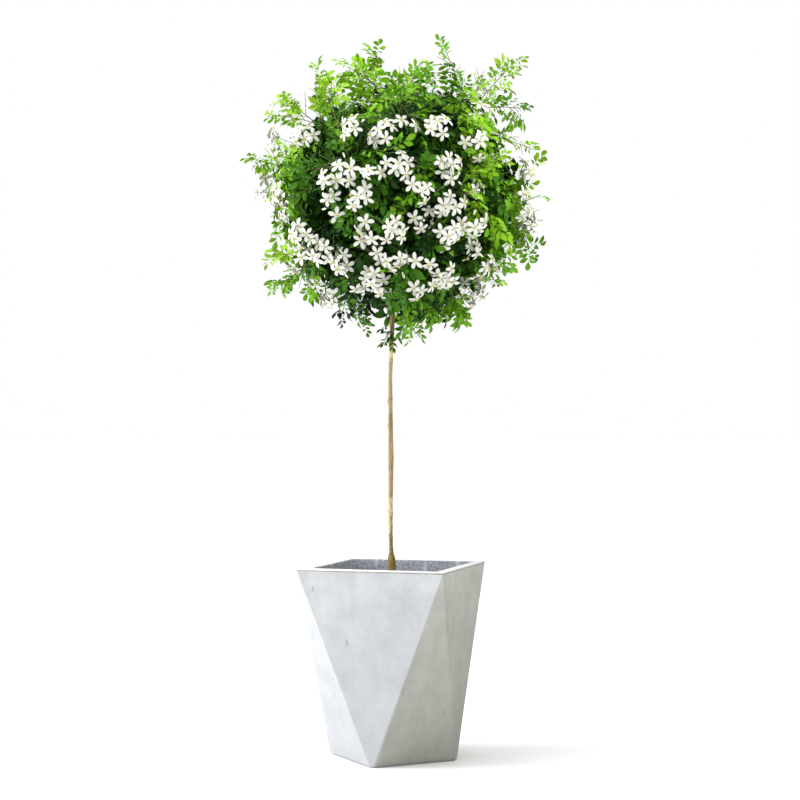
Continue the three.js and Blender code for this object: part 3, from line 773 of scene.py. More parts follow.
def reach_towards(mass, ways):
    """How far a mass reaches from the middle of the head; its peak stands out, its edge draws in."""
    angles = np.arccos(np.clip(ways @ mass["axis"], -1.0, 1.0))
    dome = mass["reach"] * (1.0 - mass["edge_drop"] * np.minimum(angles / EDGE_ANGLE, EDGE_LIMIT) ** 2)
    return dome + mass["peak"] * np.maximum(0.0, 1.0 - angles / PEAK_ANGLE)


def in_space(index, point, over_reach, over_border):
    """Whether a point lies in a mass's own space, with some slack over its reach and its borders."""
    out = point - head_centre
    gaps = np.linalg.norm(hearts - point, axis=1)
    if np.linalg.norm(out) > reach_towards(masses[index], unit(out)) + over_reach:
        return False
    return gaps[index] <= gaps.min() + 2.0 * over_border


ring_names = [ring["name"] for ring in RINGS]
print("head:", len(masses), "masses in the rings", ring_names, "and on top")

# %% [markdown]
# ## Bark
# The stem is hardly thicker than a pencil, tan and finely speckled, with lengthwise wrinkles and a
# swollen, golden brown foot. In a few places the outer bark has peeled and shows cream. The colour
# comes from noises stretched along the stem, and each peeled place is a long egg that fades at its
# edge. The wrinkles that can be seen are real relief, moved into the mesh below; only the finest
# grain is left to the shader.

# %% Mix the bark
BARK_TAN = (0.385, 0.268, 0.125)
BARK_CREAM = (0.660, 0.510, 0.270)
BARK_BROWN = (0.185, 0.128, 0.060)
FOOT_GOLD = (0.400, 0.270, 0.070)
FOOT_BROWN = (0.130, 0.092, 0.028)
FOOT_FADE = (0.425, 0.375)
PEELED = (
    {"height": 0.4685, "offset": -0.0045, "half_length": 0.021},
    {"height": 0.4345, "offset": -0.0085, "half_length": 0.019},
    {"height": 0.7600, "offset": 0.0000, "half_length": 0.016},
)
PEELED_HALF_WIDTH = 0.0065
FACING_VIEW = 270.0
BARK_TONES = ((0.30, BARK_BROWN), (0.46, BARK_TAN), (0.62, BARK_TAN), (0.76, BARK_CREAM))
FOOT_TONES = ((0.38, FOOT_BROWN), (0.56, FOOT_GOLD))
PATCHES = (95.0, 3.0)
PATCH_STRETCH = (1.0, 1.0, 0.22)
FOOT_GRAIN = (230.0, 3.0)
STREAKS = (900.0, 4.0)
STREAK_STRETCH = (1.0, 1.0, 0.06)
STREAK_SHADE = 0.72
SPECKS = (650.0, 2.0)
SPECK_STRETCH = (1.0, 1.0, 0.6)
SPECK_SHADE = 0.50
BARK_RELIEF = (0.0006, 0.7)


def peeled_place(finish, height, offset, half_length):
    """1 in the middle of a peeled place on the side of the view, 0 beyond its edge."""
    middle = towards(0.0, 0.0) * offset + UP * height
    middle = middle + towards(FACING_VIEW, 0.0) * PEELED_HALF_WIDTH / 2
    half_sizes = np.array([PEELED_HALF_WIDTH, PEELED_HALF_WIDTH, half_length])
    place = object_place(finish, 1.0 / half_sizes, -middle / half_sizes)
    away = add_node(finish, "ShaderNodeVectorMath", {0: place}, operation="LENGTH")
    return fade_of(finish, away.outputs["Value"], 1.0, 0.75)


bark = new_finish("tan_bark", BARK_TAN, 0.75)
patches = noise_over(bark, object_place(bark, PATCH_STRETCH), *PATCHES)
bark_colour = ramp_of(bark, patches, BARK_TONES)
foot_colour = ramp_of(bark, noise_over(bark, object_place(bark), *FOOT_GRAIN), FOOT_TONES)
bark_colour = mix_colours(bark, fade_of(bark, height_of(bark), *FOOT_FADE), bark_colour, foot_colour)
for peeled in PEELED:
    bark_colour = mix_colours(bark, peeled_place(bark, **peeled), bark_colour, BARK_CREAM)
streaks = noise_over(bark, object_place(bark, STREAK_STRETCH), *STREAKS)
specks = noise_over(bark, object_place(bark, SPECK_STRETCH), *SPECKS)
for grain, darkest in ((streaks, STREAK_SHADE), (specks, SPECK_SHADE)):
    shade = ramp_of(bark, grain, [(0.36, (darkest,)), (0.56, (1.0,))])
    bark_colour = mix_colours(bark, 1.0, bark_colour, shade, "MULTIPLY")
set_input(bark, "Base Color", bark_colour)
add_relief(bark, streaks, *BARK_RELIEF)
print("bark: tan", BARK_TAN, "peeled in", len(PEELED), "places")

# %% [markdown]
# ## The trunk
# A ring of points is extruded from height to height along the stem, turned and sized at each step,
# so the taper, the lean and the swollen foot all come from one list of stations. Then every point
# moves a little along its normal: long wrinkles all over, and a few rounded scars where old side
# shoots were cut.

# %% Helpers for limbs
WRINKLE_SCALE = Vector((420.0, 420.0, 45.0))
WRINKLE_SHARE = 0.75
KNOT_SCALE = Vector((60.0, 60.0, 70.0))
KNOT_SHARE = 0.6


def smooth_path(stations, spacing):
    """A smooth run through stations of (point, radius), resampled at an even spacing."""
    rows = np.array([[*point, radius] for point, radius in stations])
    rows = np.vstack([2 * rows[0] - rows[1], rows, 2 * rows[-1] - rows[-2]])
    run = []
    for before, start, end, after in zip(rows[:-3], rows[1:-2], rows[2:-1], rows[3:]):
        steps = max(2, int(np.linalg.norm(end[:3] - start[:3]) / spacing))
        for step in range(steps):
            t = step / steps
            run.append(0.5 * (
                2 * start + (end - before) * t + (2 * before - 5 * start + 4 * end - after) * t ** 2
                + (3 * start - before - 3 * end + after) * t ** 3
            ))
    run.append(rows[-2])
    run = np.array(run)
    return run[:, :3], run[:, 3]


def sweep_limb(bm, points, radii, sides):
    """Extrudes a ring along a path and closes both ends."""
    ring = bmesh.ops.create_circle(bm, segments=sides, radius=1.0)["verts"]
    limb = list(ring)
    edges = list(dict.fromkeys(edge for vert in ring for edge in vert.link_edges))
    ways = unit(np.gradient(points, axis=0))
    last = Matrix.Identity(4)
    for step, (point, radius, way) in enumerate(zip(points, radii, ways)):
        turn = Vector((0.0, 0.0, 1.0)).rotation_difference(Vector(way)).to_matrix().to_4x4()
        here = Matrix.Translation(point) @ turn @ Matrix.Diagonal((radius, radius, radius, 1.0))
        if step:
            grown = bmesh.ops.extrude_edge_only(bm, edges=edges)["geom"]
            ring = only(bmesh.types.BMVert, grown)
            edges = only(bmesh.types.BMEdge, grown)
            limb += ring
        bmesh.ops.transform(bm, matrix=here @ last.inverted(), verts=ring)
        last = here
    rims = dict.fromkeys(edge for vert in limb for edge in vert.link_edges if edge.is_boundary)
    bmesh.ops.holes_fill(bm, edges=list(rims), sides=sides)


def wrinkle(bm, depth, scars=()):
    """Moves points along their normals: long wrinkles, and a swelling at each scar."""
    bmesh.ops.recalc_face_normals(bm, faces=bm.faces)
    bm.normal_update()
    for vert in bm.verts:
        grain = noise.fractal(vert.co * WRINKLE_SCALE, 0.8, 2.1, 4)
        knots = noise.noise(vert.co * KNOT_SCALE)
        move = depth * (WRINKLE_SHARE * grain + KNOT_SHARE * knots)
        for place, swell, size in scars:
            move += swell * math.exp(-((vert.co - place).length / size) ** 2)
        vert.co += vert.normal * move


print("limb helpers ready")

# %% Grow the trunk
# Each station is a height, an offset to the right and a radius
TRUNK_STATIONS = (
    (0.3143, -0.0015, 0.0125), (0.326, -0.0016, 0.0092), (0.346, -0.0019, 0.0078),
    (0.362, -0.0021, 0.0077), (0.374, -0.0026, 0.0069), (0.387, -0.0032, 0.0040),
    (0.440, -0.0046, 0.0039), (0.510, -0.0040, 0.0044), (0.567, -0.0037, 0.0050),
    (0.630, -0.0044, 0.0042), (0.700, -0.0048, 0.0036), (0.750, -0.0034, 0.0038),
    (0.850, 0.0005, 0.0046), (0.950, 0.0055, 0.0040), (1.050, 0.0100, 0.0029),
    (1.128, 0.0120, 0.0020),
)
TRUNK_SPACING = 0.0035
TRUNK_SIDES = 20
SCAR_COUNT = 15
SCAR_HEIGHTS = (0.40, 0.84)
SCAR_SWELL = (0.0006, 0.0014)
SCAR_SIZE = 0.0045
WRINKLE_DEPTH = 0.00042

side_way = towards(0.0, 0.0)
trunk_points, trunk_radii = smooth_path(
    [(side_way * offset + UP * height, radius) for height, offset, radius in TRUNK_STATIONS], TRUNK_SPACING
)


def trunk_at(height):
    """The middle of the trunk at a height."""
    return np.array([np.interp(height, trunk_points[:, 2], trunk_points[:, axis]) for axis in range(3)])


bark_rng = np.random.default_rng(11)
scars = []
for scar_height in bark_rng.uniform(*SCAR_HEIGHTS, SCAR_COUNT):
    scar_way = towards(bark_rng.uniform(0.0, 360.0), 0.0)
    scar_radius = np.interp(scar_height, trunk_points[:, 2], trunk_radii)
    scar_spot = Vector(trunk_at(scar_height) + scar_way * scar_radius)
    scars.append((scar_spot, bark_rng.uniform(*SCAR_SWELL), SCAR_SIZE))
trunk_bm = bmesh.new()
sweep_limb(trunk_bm, trunk_points, trunk_radii, TRUNK_SIDES)
wrinkle(trunk_bm, WRINKLE_DEPTH, scars)
trunk = place_piece("trunk_bark", mesh_of("trunk_bark", trunk_bm, True), bark, ["trunk"])
print("trunk:", len(trunk.data.polygons), "faces,", SCAR_COUNT, "scars")

# %% [markdown]
# ## The boughs
# Each bough leaves the trunk at its own height, climbs and bends over towards its mass. One bent
# line with a start, a bend and an end describes it, as in the solids. Inside the mass the same line
# goes on as the stem that carries the twigs.

# %% Grow the boughs
BOUGH_RADII = (0.0029, 0.0019)
BOUGH_BEND = 0.5
BOUGH_STEPS = 26
BOUGH_SIDES = 10
BOUGH_WRINKLE_DEPTH = WRINKLE_DEPTH * 0.6


def bent_line(start, bend, end, shares):
    """Points on a line that leaves start towards bend and arrives at end."""
    t = np.asarray(shares, dtype=float)[:, None]
    return (1 - t) ** 2 * start + 2 * t * (1 - t) * bend + t ** 2 * end


def bough_line(mass, shares):
    """Points on the bent line of a mass's bough, from the trunk to the mass."""
    start = trunk_at(mass["fork"])
    end = head_centre + mass["axis"] * mass["ring"]["entry"]
    lead = towards(mass["bearing"], mass["ring"]["rise"]) * np.linalg.norm(end - start) * BOUGH_BEND
    return bent_line(start, start + lead, end, shares)


boughs_bm = bmesh.new()
for mass in masses:
    if mass["ring"]:
        line = bough_line(mass, np.linspace(0.0, 1.0, BOUGH_STEPS))
        sweep_limb(boughs_bm, line, np.linspace(*BOUGH_RADII, BOUGH_STEPS), BOUGH_SIDES)
wrinkle(boughs_bm, BOUGH_WRINKLE_DEPTH)
boughs = place_piece("boughs_bark", mesh_of("boughs_bark", boughs_bm, True), bark, BOUGH_NODES)
print("boughs:", len(boughs.data.polygons), "faces")

# %% [markdown]
# ## Twigs and shoots
# The rule of the solids is written again here and carried further. A stem runs on from the bough.
# Twigs leave it in turn, and their tips are spread over the mass like the seeds of a sunflower.
# Every second twig is a wisp that goes on to the full reach and gives the head its ragged outline.
# The others stop short, sooner towards the top and the two flanks, and make the dense part of the
# head. Side shoots on the twigs bear the leaves, and one that would leave the dense part is drawn in
# until it fits. Every bit of wood is a slim tapered tube between two points.

# %% Helpers for growth
SLANT = np.array([0.31, 0.17, 0.93])
DRAW_STEPS = 14
DRAW_SHARE = 0.9


def across(way, spin):
    """A direction square to a way, spun about it."""
    side = unit(np.cross(way, SLANT))
    return side * math.cos(spin) + np.cross(way, side) * math.sin(spin)


def leaned(way, lean, spin):
    """A way leaned over by an angle, to a side that is spun about it."""
    return way * math.cos(lean) + across(way, spin) * math.sin(lean)


def along_line(line, share):
    """The point at a share of a line of points, and the way the line runs there."""
    steps = len(line) - 1
    step = min(int(share * steps), steps - 1)
    run = line[step + 1] - line[step]
    return line[step] + run * (share * steps - step), unit(run)


def add_tubes(store, line, radii):
    """Keeps the tubes along a line of points."""
    sizes = np.linspace(radii[0], radii[1], len(line))
    for start, end, thick, thin in zip(line[:-1], line[1:], sizes[:-1], sizes[1:]):
        store.append((start, end, thick, thin))


def draw_in(index, point, anchor, slack):
    """Moves a point towards its anchor until it lies in the mass's space."""
    for _ in range(DRAW_STEPS):
        if in_space(index, point, *slack):
            return point
        point = anchor + (point - anchor) * DRAW_SHARE
    return point


print("growth helpers ready")

# %% Grow twigs and shoots
STEM_SHARE = 0.66
STEM_BEND = 0.4
STEM_RADII = (0.0019, 0.0013)
STEM_POINTS = 9
TAIL_SHARES = (0.96, 1.0)
TWIGS = 14
TWIG_RADII = (0.0011, 0.0006)
TWIG_POINTS = 7
FIRST_TWIG = 0.97
LAST_TWIG = 0.12
TWIG_STAGGER = 0.2
TWIG_TIP_INSET = 0.034
TWIG_REACH = (0.70, 0.94)
TOP_THINNING = 0.26
FLANK_THINNING = 0.12
WISP_EVERY = 2
WISP_REACH = (0.95, 1.0)
TWIG_BEND = 0.30
SHOOTS = 5
SHOOTS_FROM = 0.34
SHOOTS_OVER = 0.60
SHOOT_STAGGER = (0.1, 0.6)
SHOOT_POINTS = 4
SHOOT_LENGTHS = (0.060, 0.032)
SHOOT_LENGTH_VARIES = (0.8, 1.25)
SHORTEST_SHOOT = 0.012
SHOOT_RADII = (0.0007, 0.0004)
SHOOT_SPREAD = math.radians(48.0)
SHOOT_SPREAD_VARIES = (0.75, 1.25)
SHOOT_ARCH = 0.004
TWIG_SLACK = (0.004, 0.004)
SHOOT_SLACK = (-0.050, 0.006)

grow_rng = np.random.default_rng(2024)
wood_tubes = []
shoot_tubes = []
stem_list = []
shoot_list = []
twig_list = []

for index, mass in enumerate(masses):
    if mass["ring"]:
        tail = bough_line(mass, TAIL_SHARES)
    else:
        tail = trunk_points[-2:]
    stem_start, stem_way = tail[1], unit(tail[1] - tail[0])
    stem_end = head_centre + mass["axis"] * mass["reach"] * STEM_SHARE
    stem_lead = stem_way * np.linalg.norm(stem_end - stem_start) * STEM_BEND
    stem = bent_line(stem_start, stem_start + stem_lead, stem_end, np.linspace(0.0, 1.0, STEM_POINTS))
    add_tubes(wood_tubes, stem, STEM_RADII)
    stem_list.append({"mass": index, "line": stem, "going": TWIG_REACH[0]})
    phase = grow_rng.uniform(0.0, 2.0 * math.pi)
    for k in range(TWIGS):
        angle = mass["fan"] * math.sqrt(k / TWIGS)
        way = leaned(mass["axis"], angle, phase + GOLDEN_ANGLE * k)
        wisp = k % WISP_EVERY == 0
        thinning = TOP_THINNING * max(way[2], 0.0) + FLANK_THINNING * abs(way @ camera_right)
        dense = grow_rng.uniform(*TWIG_REACH) * (1.0 - thinning)
        going = grow_rng.uniform(*WISP_REACH) if wisp else dense
        tip = head_centre + way * (reach_towards(mass, way) * going - TWIG_TIP_INSET)
        share = FIRST_TWIG + (LAST_TWIG - FIRST_TWIG) * (k + TWIG_STAGGER) / TWIGS
        base, stem_run = along_line(stem, share)
        tip = draw_in(index, tip, base, TWIG_SLACK)
        lead = stem_run * np.linalg.norm(tip - base) * TWIG_BEND
        twig = bent_line(base, base + lead, tip, np.linspace(0.0, 1.0, TWIG_POINTS))
        add_tubes(wood_tubes, twig, TWIG_RADII)
        twig_list.append({"mass": index, "number": k, "line": twig, "going": going})
        spin = grow_rng.uniform(0.0, 2.0 * math.pi)
        for j in range(SHOOTS):
            along = SHOOTS_FROM + SHOOTS_OVER * (j + grow_rng.uniform(*SHOOT_STAGGER)) / SHOOTS
            root, run = along_line(twig, along)
            spread = SHOOT_SPREAD * grow_rng.uniform(*SHOOT_SPREAD_VARIES)
            aim = leaned(run, spread, spin + GOLDEN_ANGLE * j)
            length = SHOOT_LENGTHS[0] + (SHOOT_LENGTHS[1] - SHOOT_LENGTHS[0]) * along
            end = root + aim * length * grow_rng.uniform(*SHOOT_LENGTH_VARIES)
            end = draw_in(index, end, root, SHOOT_SLACK)
            if np.linalg.norm(end - root) < SHORTEST_SHOOT:
                continue
            arch = (root + end) / 2 + UP * SHOOT_ARCH
            shoot = bent_line(root, arch, end, np.linspace(0.0, 1.0, SHOOT_POINTS))
            add_tubes(shoot_tubes, shoot, SHOOT_RADII)
            shoot_list.append({"mass": index, "line": shoot, "going": dense})
print("growth:", len(twig_list), "twigs,", len(shoot_list), "shoots")

# %% [markdown]
# ## Leaflet and petal
# A leaflet is an egg shape with its broad half outwards, folded a little along the midrib and bent
# down at the tip. A petal is built the same way, only narrower at the root and bent further back. A
# grid of two rows of faces is enough for both; where the outline closes, it is merged to a point.

# %% Shape a blade
LEAFLET = {"widths": (0.0, 0.66, 1.0, 0.84, 0.0), "half_width": 0.245, "fold": 0.34, "bend": 0.22}
PETAL = {"widths": (0.34, 0.56, 0.82, 1.0, 0.92, 0.42), "half_width": 0.275, "fold": 0.16, "bend": 0.40}


def blade_shape(widths, half_width, fold, bend):
    """A blade one unit long from the origin along X, its upper face towards +Z."""
    rows = len(widths) - 1
    bm = bmesh.new()
    bmesh.ops.create_grid(bm, x_segments=rows, y_segments=2, size=0.5)
    for vert in bm.verts:
        along = vert.co.x + 0.5
        side = vert.co.y * 2.0 * half_width * np.interp(along, np.linspace(0.0, 1.0, rows + 1), widths)
        vert.co = (along, side, fold * abs(side) - bend * along * along)
    bmesh.ops.remove_doubles(bm, verts=bm.verts, dist=0.001)
    return shape_of(bm)


leaflet = blade_shape(**LEAFLET)
petal = blade_shape(**PETAL)
print("leaflet:", len(leaflet[1]), "faces; petal:", len(petal[1]), "faces")

# %% [markdown]
# ## The leaf
# An orange jasmine leaf is pinnate: five to seven leaflets stand in turn on a thin stalk, the largest
# at its end. Four leaves with different counts and small accidents of angle and size are enough, as
# each copy is turned and sized in its own way.

# %% Set leaflets on a stalk
STALK_LENGTH = 0.043
STALK_RADIUS = 0.00055
STALK_TIP_RADIUS = STALK_RADIUS * 0.6
STALK_SIDES = 3
END_LEAFLET = 0.031
LEAF_KINDS = (5, 6, 7, 7)
LEAF_LENGTH = STALK_LENGTH + END_LEAFLET
LEAFLET_HEADING = 68.0
HEADING_FALL = 24.0
HEADING_SCATTER = 12.0
LEAFLET_PITCH = (-0.25, 0.45)
LEAFLET_ROLL = (-0.6, 0.6)
SMALLEST_LEAFLET = 0.55
LEAFLET_GAIN = 0.38
LEAFLET_SIZE_VARIES = (0.85, 1.12)
LEAFLET_OFF_STALK = 0.0008
BARE_GAPS = 1.4
SPARE_GAPS = 0.2
END_HEADING = (-0.2, 0.2)
END_PITCH = 0.15
END_ROLL = (-0.5, 0.5)
leaf_rng = np.random.default_rng(31)


def turned_axes(heading, pitch, roll, size):
    """Three axes turned by a heading about Z, a pitch and a roll, times a size."""
    turn = Matrix.Rotation(heading, 3, "Z") @ Matrix.Rotation(pitch, 3, "Y")
    return np.array(turn @ Matrix.Rotation(roll, 3, "X")) * size


def open_cone(length, radius, tip_radius, sides):
    """A slim open cone from the origin along X."""
    bm = bmesh.new()
    bmesh.ops.create_cone(
        bm, cap_ends=False, segments=sides, radius1=radius, radius2=tip_radius, depth=length,
        matrix=Matrix.Translation((length / 2, 0.0, 0.0)) @ Matrix.Rotation(math.pi / 2, 4, "Y"),
    )
    return bm


def leaf_shape(count):
    """A leaf of several leaflets in turn left and right, with a larger one at the end."""
    axes, places = [], []
    for k in range(count - 1):
        share = (k + BARE_GAPS) / (count + SPARE_GAPS)
        side = 1.0 if k % 2 else -1.0
        scatter = leaf_rng.uniform(-HEADING_SCATTER, HEADING_SCATTER)
        heading = side * math.radians(LEAFLET_HEADING - HEADING_FALL * share + scatter)
        size = END_LEAFLET * (SMALLEST_LEAFLET + LEAFLET_GAIN * share)
        size = size * leaf_rng.uniform(*LEAFLET_SIZE_VARIES)
        pitch = leaf_rng.uniform(*LEAFLET_PITCH)
        axes.append(turned_axes(heading, pitch, leaf_rng.uniform(*LEAFLET_ROLL), size))
        places.append((STALK_LENGTH * share, side * LEAFLET_OFF_STALK, 0.0))
    end_heading = leaf_rng.uniform(*END_HEADING)
    axes.append(turned_axes(end_heading, END_PITCH, leaf_rng.uniform(*END_ROLL), END_LEAFLET))
    places.append((STALK_LENGTH, 0.0, 0.0))
    stalk = shape_of(open_cone(STALK_LENGTH, STALK_RADIUS, STALK_TIP_RADIUS, STALK_SIDES))
    return join_shapes([copies_of(leaflet, np.array(axes), np.array(places)), stalk])


leaf_shapes = [leaf_shape(count) for count in LEAF_KINDS]
print("leaves:", [len(shape[1]) for shape in leaf_shapes], "faces, length", LEAF_LENGTH)

# %% [markdown]
# ## The flower
# Five white petals, narrow at the root, broad and rounded at the end and bent back, stand round a
# pale yellow green middle with a few stamens. Some flowers are still slim buds.

# %% Shape a flower
PETALS = 5
PETAL_LENGTH = 0.0136
PETAL_START = 0.0009
PETAL_LIFT = math.radians(16.0)
STAMEN = {"length": 0.0054, "radius": 0.00035, "tip_radius": 0.0006, "sides": 3}
STAMENS = 5
STAMEN_START = 0.0006
STAMEN_LIFT = math.radians(54.0)
PISTIL = {"length": 0.0064, "radius": 0.0015, "tip_radius": 0.0008, "sides": 6}
BUD_SIZE = (0.0021, 0.0021, 0.0062)
BUD_RISE = BUD_SIZE[2] * 0.9


def ring_of(shape, count, lift, size, start):
    """Copies of a shape that lies along X, set round the Z axis and lifted."""
    axes, places = [], []
    for k in range(count):
        heading = 2.0 * math.pi * k / count
        axes.append(turned_axes(heading, -lift, 0.0, size))
        places.append((start * math.cos(heading), start * math.sin(heading), 0.0))
    return copies_of(shape, np.array(axes), np.array(places))


petals = ring_of(petal, PETALS, PETAL_LIFT, PETAL_LENGTH, PETAL_START)
stamens = ring_of(shape_of(open_cone(**STAMEN)), STAMENS, STAMEN_LIFT, 1.0, STAMEN_START)
pistil = ring_of(shape_of(open_cone(**PISTIL)), 1, math.pi / 2, 1.0, 0.0)
flower_middle = join_shapes([stamens, pistil])
bud_bm = bmesh.new()
bmesh.ops.create_uvsphere(
    bud_bm, u_segments=6, v_segments=5, radius=1.0,
    matrix=Matrix.Translation((0.0, 0.0, BUD_RISE)) @ Matrix.Diagonal((*BUD_SIZE, 1.0)),
)
bud = shape_of(bud_bm)
print("flower:", len(petals[1]), "petal faces,", len(flower_middle[1]), "in its middle; bud", len(bud[1]))

# %% [markdown]
# ## Dealing out the blossom
# Flowers stand in small domed clusters at the ends of the outer shoots, level with the dense leaves,
# so the wisps beyond them keep the outline green. They are thickest round the middle of the head and
# a little below it, and sparse at the top, on the underside and on the two flanks. So the shoots are
# asked in a random order: each throws a die whose odds depend on where it points, and one too near to
# another cluster stays bare.

# %% Deal out the clusters
# The odds by the elevation in degrees, and by how far a shoot points to one side of the view
CLUSTER_ODDS = (
    (-80.0, 0.01), (-64.0, 0.05), (-54.0, 0.60), (-40.0, 0.80),
    (-8.0, 0.62), (10.0, 0.32), (30.0, 0.14), (50.0, 0.03), (90.0, 0.01),
)
FLANK_ODDS = ((0.0, 1.0), (0.55, 0.9), (0.80, 0.13), (1.0, 0.30))
CLUSTER_SPACING = 0.041
CLUSTER_FROM = 0.60
CLUSTER_LEVEL = (0.76, 0.86)
FLOWERS_PER_CLUSTER = (3, 8)
FLOWER_STALK = 0.019
STALK_VARIES = (0.8, 1.45)
MIDDLE_LEAN = (0.0, 16.0)
RING_LEAN = (34.0, 82.0)
RING_SCATTER = (-0.3, 0.3)
FACE_SHARES = (0.6, 0.6)
FLOWER_SCATTER = 0.36
FLOWER_SPIN = (0.0, 6.3)
FLOWER_SIZES = (0.88, 1.08)
BUD_SHARE = 0.10
BUD_SIZES = (0.8, 1.1)
blossom_rng = np.random.default_rng(6)
dice = blossom_rng.random(len(shoot_list))
levels = blossom_rng.uniform(*CLUSTER_LEVEL, len(shoot_list))
flower_axes, flower_spots, bud_axes, bud_spots = [], [], [], []
cluster_spots = []


def axes_along(way, spin, size):
    """Axes with Z along a way, spun about it."""
    side = across(way, spin)
    return np.stack([side, np.cross(way, side), way], axis=-1) * size


for number in blossom_rng.permutation(len(shoot_list)):
    shoot = shoot_list[number]
    end = shoot["line"][-1]
    out = unit(end - head_centre)
    full_reach = reach_towards(masses[shoot["mass"]], out)
    odds = np.interp(math.degrees(math.asin(out[2])), *zip(*CLUSTER_ODDS))
    odds *= np.interp(abs(out @ camera_right), *zip(*FLANK_ODDS))
    start = head_centre + out * (full_reach * levels[number] - FLOWER_STALK)
    crowded = any(np.linalg.norm(start - spot) < CLUSTER_SPACING for spot in cluster_spots)
    too_deep = np.linalg.norm(end - head_centre) < full_reach * CLUSTER_FROM
    if crowded or too_deep or dice[number] > odds:
        continue
    cluster_spots.append(start)
    add_tubes(shoot_tubes, np.array([end, start]), SHOOT_RADII)
    count = blossom_rng.integers(*FLOWERS_PER_CLUSTER)
    for k in range(count):
        lean = math.radians(blossom_rng.uniform(*(RING_LEAN if k else MIDDLE_LEAN)))
        spin = 2.0 * math.pi * (k + blossom_rng.uniform(*RING_SCATTER)) / (count - 1)
        way = unit(leaned(out, lean, spin))
        spot = start + way * FLOWER_STALK * blossom_rng.uniform(*STALK_VARIES)
        add_tubes(shoot_tubes, np.array([start, spot]), SHOOT_RADII)
        if blossom_rng.random() < BUD_SHARE:
            bud_axes.append(axes_along(way, 0.0, blossom_rng.uniform(*BUD_SIZES)))
            bud_spots.append(spot)
            continue
        face = way * FACE_SHARES[0] + out * FACE_SHARES[1]
        face = unit(face + blossom_rng.normal(0.0, FLOWER_SCATTER, 3))
        spin = blossom_rng.uniform(*FLOWER_SPIN)
        flower_axes.append(axes_along(face, spin, blossom_rng.uniform(*FLOWER_SIZES)))
        flower_spots.append(spot)
print("blossom:", len(cluster_spots), "clusters,", len(flower_spots), "flowers,", len(bud_spots), "buds")

# %% [markdown]
# ## Setting the leaves
# Leaves stand in turn round each shoot, and smaller ones in two rows along the outer part of each
# twig. A leaf lies with its upper face half to the sky and half outwards. One that would poke out of
# its twig's share of the reach is made smaller, and if that isn't enough it is skipped; so is one
# that would cover a flower. Each spray gets one of five plain greens, which paint light and shade:
# painted light makes it bright and yellowish where it is high, far out or on a flank, above all the
# right one, and painted shade makes it deep where it is low or inside.

# %% Deal out the greens
# The five greens paint light and shade: the bright ones painted light, the dark ones painted shade
GREENS = (
    ("deep", (0.008, 0.034, 0.003)),
    ("dark", (0.040, 0.130, 0.006)),
    ("full", (0.110, 0.275, 0.009)),
    ("fresh", (0.180, 0.375, 0.012)),
    ("sunlit", (0.235, 0.435, 0.022)),
)
GREEN_STEPS = (0.04, 0.23, 0.42, 0.64)
OUTER_FROM = 0.70
LOWEST = -0.75
FLANK_FROM = 0.35
GLOW_TOP = 0.20
GLOW_FADE = 4.0
OUTER_SHARE = 1.30
HIGH_SHARE = 0.22
FLANK_SHARE = 0.36
GLOW_SHARE = 0.14
GREEN_SHIFT = 0.05
GREEN_SCATTER = 0.16


def green_at(point):
    """Which green a spray takes from its place in the head: painted light where it is high, far out or on
    a flank, above all the right one, and painted shade where it is low or inside.
    """
    out = (point - head_centre) / HEAD_RADIUS
    right = out @ camera_right
    flank = max(abs(right) - FLANK_FROM, 0.0)
    # Painted light on the right flank, less of it towards the top
    glow = max(right, 0.0) * (1.0 - GLOW_FADE * max(out[2] - GLOW_TOP, 0.0))
    score = OUTER_SHARE * (np.linalg.norm(out) - OUTER_FROM) + HIGH_SHARE * max(out[2], LOWEST)
    score = score + FLANK_SHARE * flank + GLOW_SHARE * glow + GREEN_SHIFT
    return int(np.searchsorted(GREEN_STEPS, score + grow_rng.normal(0.0, GREEN_SCATTER)))


print("greens:", [green_name for green_name, _ in GREENS])

# %% Set the leaves
LEAVES_PER_SHOOT = 6
FIRST_LEAF = 0.7
LEAVES_PER_TWIG = 12
LEAVES_PER_STEM = 24
TWIG_LEAVES_FROM = 0.50
LEAF_SPREAD = math.radians(58.0)
SHOOT_LEAF_VARIES = (0.6, 1.25)
TWIG_LEAF_VARIES = (0.5, 1.1)
SHOOT_END_SPREAD = 0.5
TWIG_END_SPREAD = 0.3
TWIG_LEAF_SCATTER = 0.5
LEAF_SIZES = (0.52, 0.98)
TWIG_LEAF_SIZES = (0.44, 0.74)
LEAF_TRIES = (1.0, 0.82, 0.66)
LEAF_CHECKS = (0.45, 0.75, 1.0)
LEAF_OVERLAP = 0.03
LEAF_DROOP = (0.02, 0.34)
LEAF_FACE_UP = 0.6
LEAF_FACE_OUT = 0.7
FACE_SCATTER = 0.60
STEM_LEAF_OUT = 0.4
FLOWER_ROOM = 0.018
FLOWER_VIEWS = (0.0, 0.016, 0.030)

leaf_sets = [[[] for _ in LEAF_KINDS] for _ in GREENS]
flower_ways = unit(np.array(flower_spots) - head_centre)
kept_free = np.concatenate([flower_spots + flower_ways * view for view in FLOWER_VIEWS])


def leaf_fits(index, spot, way, size, going):
    """Whether a leaf stays in its twig's share of the reach and leaves the flowers free."""
    tip = spot + way * LEAF_LENGTH * size
    out = tip - head_centre
    if np.linalg.norm(out) > reach_towards(masses[index], unit(out)) * going:
        return False
    for share in LEAF_CHECKS:
        if (np.linalg.norm(kept_free - (spot + (tip - spot) * share), axis=1) < FLOWER_ROOM).any():
            return False
    return in_space(index, tip, 0.0, LEAF_OVERLAP)


def leaf_axes(face, way, size):
    """Axes of a leaf along a way, its upper side turned to a face."""
    side = unit(np.cross(face, way))
    return np.stack([way, side, np.cross(way, side)], axis=-1) * size


